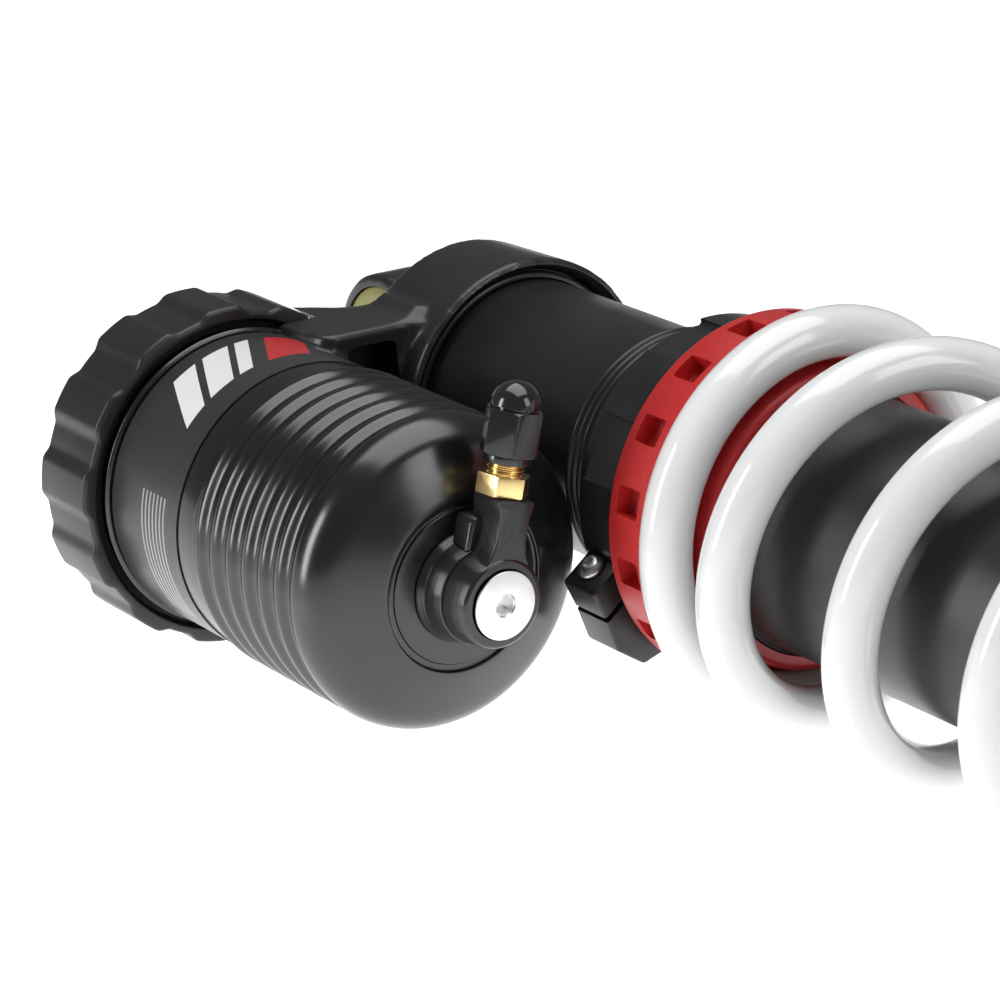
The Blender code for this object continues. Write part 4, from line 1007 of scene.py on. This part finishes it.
hole = [(-0.03, 0.0), (-0.03, 0.0034), (-0.0112, 0.0034), (-0.0112, 0.0022), (0.0130, 0.0022), (0.0130, 0.0)]
hole = spun(hole, "Z", PINCH_AXIS, 48)
collar = combine(collar, [bore, split_cut, at_lug(hole)], "DIFFERENCE")
piece("split_preload_collar", collar, collar_black, "black_anodised", "preload_adjuster", "clamp_collar",
      sharp=35.0)

screw = [(-0.0140, 0.0), (-0.0138, 0.0020), (-0.0126, 0.0031), (-0.0115, 0.0031), (-0.0115, 0.0020),
         (0.0110, 0.0020), (0.0110, 0.0)]
screw = spun(softened(screw, 0.0003), "Z", PINCH_AXIS, 64)
key = slab(hexagon(0.0024, PINCH_AXIS), -0.0200, -0.0127, "Z")
piece("pinch_screw", at_lug(combine(screw, [key], "DIFFERENCE")), steel, "steel", "preload_adjuster",
      "clamp_screw")

# %% [markdown]
# ## Red preload seat
# The spring rests on a moulded red ring. Sixteen square pockets take a hook wrench, and a sleeve reaches
# into the coil to keep it centred. Its moulding is a little uneven, and its edges are soft and scuffed.

# %% make the seat
SEAT_LOW, SEAT_HIGH = low("preload_seat").x, high("preload_seat").x
SEAT_FACE = SPRING_LOW - 0.0004
seat_profile = [(SEAT_LOW, 0.0293), (SEAT_LOW, 0.0392), (SEAT_LOW + 0.0008, 0.0399),
                (SEAT_FACE - 0.0008, 0.0399), (SEAT_FACE, 0.0391), (SEAT_FACE, 0.0326),
                (SEAT_HIGH - 0.0010, 0.0326), (SEAT_HIGH, 0.0316), (SEAT_HIGH, 0.0293)]
seat = spun(softened(seat_profile, 0.0007), sides=200)
seat_pocket = bevelled(cuboid((-0.0034, -0.0040, -0.0031), (0.0034, 0.0040, 0.0031)), 0.0005, 2)
pockets = ring_of(seat_pocket, 16, 0.0399, 0.1401, math.radians(180 - 11.0))
seat = combine(seat, [pockets], "DIFFERENCE")
piece("red_preload_seat", seat, red, "red_moulding", "preload_adjuster", "preload_seat", sharp=38.0)

# %% [markdown]
# ## Lower end
# The seal head closes the tube. The chromed rod carries the bump stop, the slotted lower spring seat and
# the fork that bolts to the linkage.

# %% seal head and rod
head_high = high("seal_head").x
seal_head = [(0.2360, 0.0115), (0.2360, 0.0247), (TUBE_HIGH + GAP, 0.0247), (TUBE_HIGH + GAP, 0.0278),
             (0.2604, 0.0278), (head_high, 0.0262), (head_high, 0.0140), (0.2575, 0.0140), (0.2575, 0.0110),
             (0.2525, 0.0110), (0.2525, 0.0150), (0.2465, 0.0150), (0.2465, 0.0115)]
piece("turned_seal_head", spun(softened(seal_head, 0.0004)), tube_black, "black_anodised", "damper_body",
      "seal_head")
wiper = [(0.2578, 0.0093), (0.2578, 0.0136), (0.2618, 0.0136), (0.2626, 0.0122), (0.2634, 0.0100),
         (0.2634, 0.0093)]
piece("rod_wiper", spun(softened(wiper, 0.0005), sides=96), rubber, "black_rubber", "damper_body",
      "dust_wiper")
rod_low, rod_high = low("shaft").x, high("shaft").x
rod = [(rod_low, 0.0042), (rod_low, 0.0060), (0.2280, 0.0060), (0.2280, 0.0090), (rod_high, 0.0090),
       (rod_high, 0.0042)]
piece("chromed_rod", spun(softened(rod, 0.0004), sides=120), chrome, "chrome", "shaft_assembly", "shaft")
stop_low, stop_high = low("bump_stop").x, high("bump_stop").x
bump = [(stop_low, 0.0093), (stop_low, 0.0125), (0.3920, 0.0152), (0.3955, 0.0128), (0.3987, 0.0170),
        (0.4018, 0.0140), (0.4048, 0.0180), (stop_high, 0.0180), (stop_high, 0.0093)]
piece("rubber_bump_stop", spun(softened(bump, 0.0022, 6)), rubber, "black_rubber", "shaft_assembly",
      "bump_stop", sharp=60.0)
cup_low, cup_high = low("bump_cup").x, high("bump_cup").x
cup = [(cup_low, 0.0093), (cup_low, 0.0190), (cup_high, 0.0190), (cup_high, 0.0093)]
piece("bump_stop_cup", spun(softened(cup, 0.0005)), collar_black, "black_anodised", "shaft_assembly",
      "bump_cup")

# %% lower spring seat
lower_seat = [(0.3950, 0.0270), (0.3950, 0.0318), (0.3962, 0.0330), (SPRING_HIGH + GAP, 0.0330),
              (SPRING_HIGH + GAP, 0.0440), (0.4062, 0.0450), (0.4085, 0.0446), (0.4112, 0.0280),
              (0.4112, 0.0200), (0.4040, 0.0200)]
lower_mesh = combine(spun(softened(lower_seat + lower_seat[:1], 0.0006)[:-1], sides=200),
                     [cuboid((0.380, -0.060, -0.010), (0.420, 0.0, 0.010))], "DIFFERENCE")
piece("slotted_lower_seat", lower_mesh, collar_black, "black_anodised", "shaft_assembly",
      "lower_spring_seat", sharp=35.0)

# %% the fork
FORK_END = high("lower_clevis").x
FORK_ROUND = 0.0150
BOLT_X = FORK_END - FORK_ROUND
KNOB_AXIS = (0.4440, 0.0)
flange = spun(softened([(0.4115, 0.0), (0.4115, 0.0270), (0.4162, 0.0270), (0.4192, 0.0190), (0.4540, 0.0190),
                        (0.4540, 0.0)], 0.0012, 4), sides=128)
outline = [(0.4300, -0.0140), (0.4300, 0.0140)]
for i in range(37):
    angle = math.radians(90 - 5 * i)
    outline.append((BOLT_X + FORK_ROUND * math.cos(angle), FORK_ROUND * math.sin(angle)))
fork = combine(flange, [bevelled(slab(outline, -0.0200, 0.0200, "Y"), 0.0014, 4, 40)], "UNION")
fork_cuts = [
    bevelled(cuboid((0.4560, -0.0120, -0.0400), (0.5300, 0.0120, 0.0400)), 0.0004, 2),
    drill(-0.04, 0.04, 0.0117, "Z", (0.4580, 0.0), 96),
    drill(0.40, 0.4402, 0.0093, sides=72),
    drill(-0.04, 0.04, 0.0051, "Y", (BOLT_X, 0.0), 72),
    drill(-0.04, 0.005, 0.0051, "Z", KNOB_AXIS, 64),
]
fork = combine(fork, fork_cuts, "DIFFERENCE")
piece("linkage_fork", fork, collar_black, "black_anodised", "shaft_assembly", "lower_clevis", sharp=35.0)
knob_low = low("rebound_adjuster").z
knob = [(knob_low, 0.0), (knob_low, 0.0048), (-0.0060, 0.0048), (-0.0030, 0.0030), (0.0040, 0.0030),
        (0.0040, 0.0)]
knob = spun(softened(knob, 0.0004), "Z", KNOB_AXIS, 64)
knob_slot = cuboid((0.4380, -0.0006, knob_low - 0.002), (0.4500, 0.0006, knob_low + 0.0012))
piece("rebound_screw", combine(knob, [knob_slot], "DIFFERENCE"), brass, "brass", "rebound_adjuster",
      "rebound_adjuster")

# %% [markdown]
# ## Inner pieces
# Pieces that the outer ones hide keep their solids. Each still gets a proper finish, because they show
# when the shock is taken apart.

# %% finishes for what stays
finish_of_slot = {
    "steel": steel, "black_rubber": rubber, "bronze_bush": bronze, "silver_aluminium": steel, "brass": brass,
    "black_anodised": arm_black, "chrome": chrome, "gloss_black_anodised": valve_black, "olive_seal": olive,
    "black_casting": casting, "label_film": film, "red_moulding": red, "white_powder_coat": white,
}
kept = 0
for entry in frame["record"]["subparts"]:
    node = frame["nodes"][entry["node"]]
    if node.hide_render:
        continue
    node.data.materials.clear()
    node.data.materials.append(finish_of_slot[entry["material_slot"]])
    kept += 1
print(kept, "inner pieces keep their solids")

# %% [markdown]
# ## Stage
# One large soft light hangs overhead, a tall narrow one stands on the left and a small one on the right. The
# floor is pale and glows a little, so that the black parts carry long, soft reflections.

# %% floor and lights
FLOOR_REACH, FLOOR_GLOW, SKY_GLOW = 9.0, 0.88, 0.14
corners = [(-FLOOR_REACH, -FLOOR_REACH), (FLOOR_REACH, -FLOOR_REACH), (FLOOR_REACH, FLOOR_REACH),
           (-FLOOR_REACH, FLOOR_REACH)]
floor_mesh = slab(corners, -0.262, -0.260, "Z")
floor = holder(floor_mesh, "floor")
floor_finish, floor_tree, floor_shader = new_material("pale_floor")
paper = noise_node(floor_tree, object_position(floor_tree), 30.0, 3.0)
pale = mix_colour(floor_tree, paper, (0.90, 0.90, 0.90), (0.93, 0.93, 0.93))
link(floor_tree, pale, floor_shader.inputs["Base Color"])
floor_shader.inputs["Roughness"].default_value = 0.9
floor_shader.inputs["Emission Color"].default_value = (1.0, 1.0, 1.0, 1.0)
floor_shader.inputs["Emission Strength"].default_value = FLOOR_GLOW
floor_mesh.materials.append(floor_finish)

world = bpy.data.worlds.new("studio")
world.use_nodes = True
world.node_tree.nodes["Background"].inputs[0].default_value = (1.0, 1.0, 1.0, 1.0)
world.node_tree.nodes["Background"].inputs[1].default_value = SKY_GLOW
scene.world = world


def soft_light(name, place, target, width, height, power):
    data = bpy.data.lights.new(name, "AREA")
    data.shape = "RECTANGLE"
    data.size = width
    data.size_y = height
    data.energy = power
    lamp = bpy.data.objects.new(name, data)
    lamp.location = place
    lamp.rotation_euler = (Vector(target) - Vector(place)).to_track_quat("-Z", "Y").to_euler()
    scene.collection.objects.link(lamp)
    return lamp


TARGET = (0.12, -0.03, 0.0)
soft_light("overhead", (0.10, 0.10, 0.95), TARGET, 1.2, 0.9, 9.0)
soft_light("left", (-0.20, -0.98, 0.26), TARGET, 0.25, 0.70, 4.5)
soft_light("right", (1.05, 0.35, 0.45), TARGET, 0.4, 0.6, 2.4)
print("three soft lights")

# %% [markdown]
# ## Camera
# The camera looks down on the shock from beyond the valve, with a long lens, so that the spring runs out
# of the picture on the right.

# %% camera
camera_data = bpy.data.cameras.new("camera")
camera_data.lens = 135.67
camera_data.sensor_width = 36.0
camera = bpy.data.objects.new("camera", camera_data)
turn = (Matrix.Rotation(0.965, 4, "Z") @ Matrix.Rotation(math.pi / 2 - 0.335, 4, "X") @
        Matrix.Rotation(-0.021, 4, "Z"))
camera.matrix_world = Matrix.Translation((0.72267, -0.47442, 0.26181)) @ turn
scene.collection.objects.link(camera)
scene.camera = camera
scene.view_settings.view_transform = "Standard"
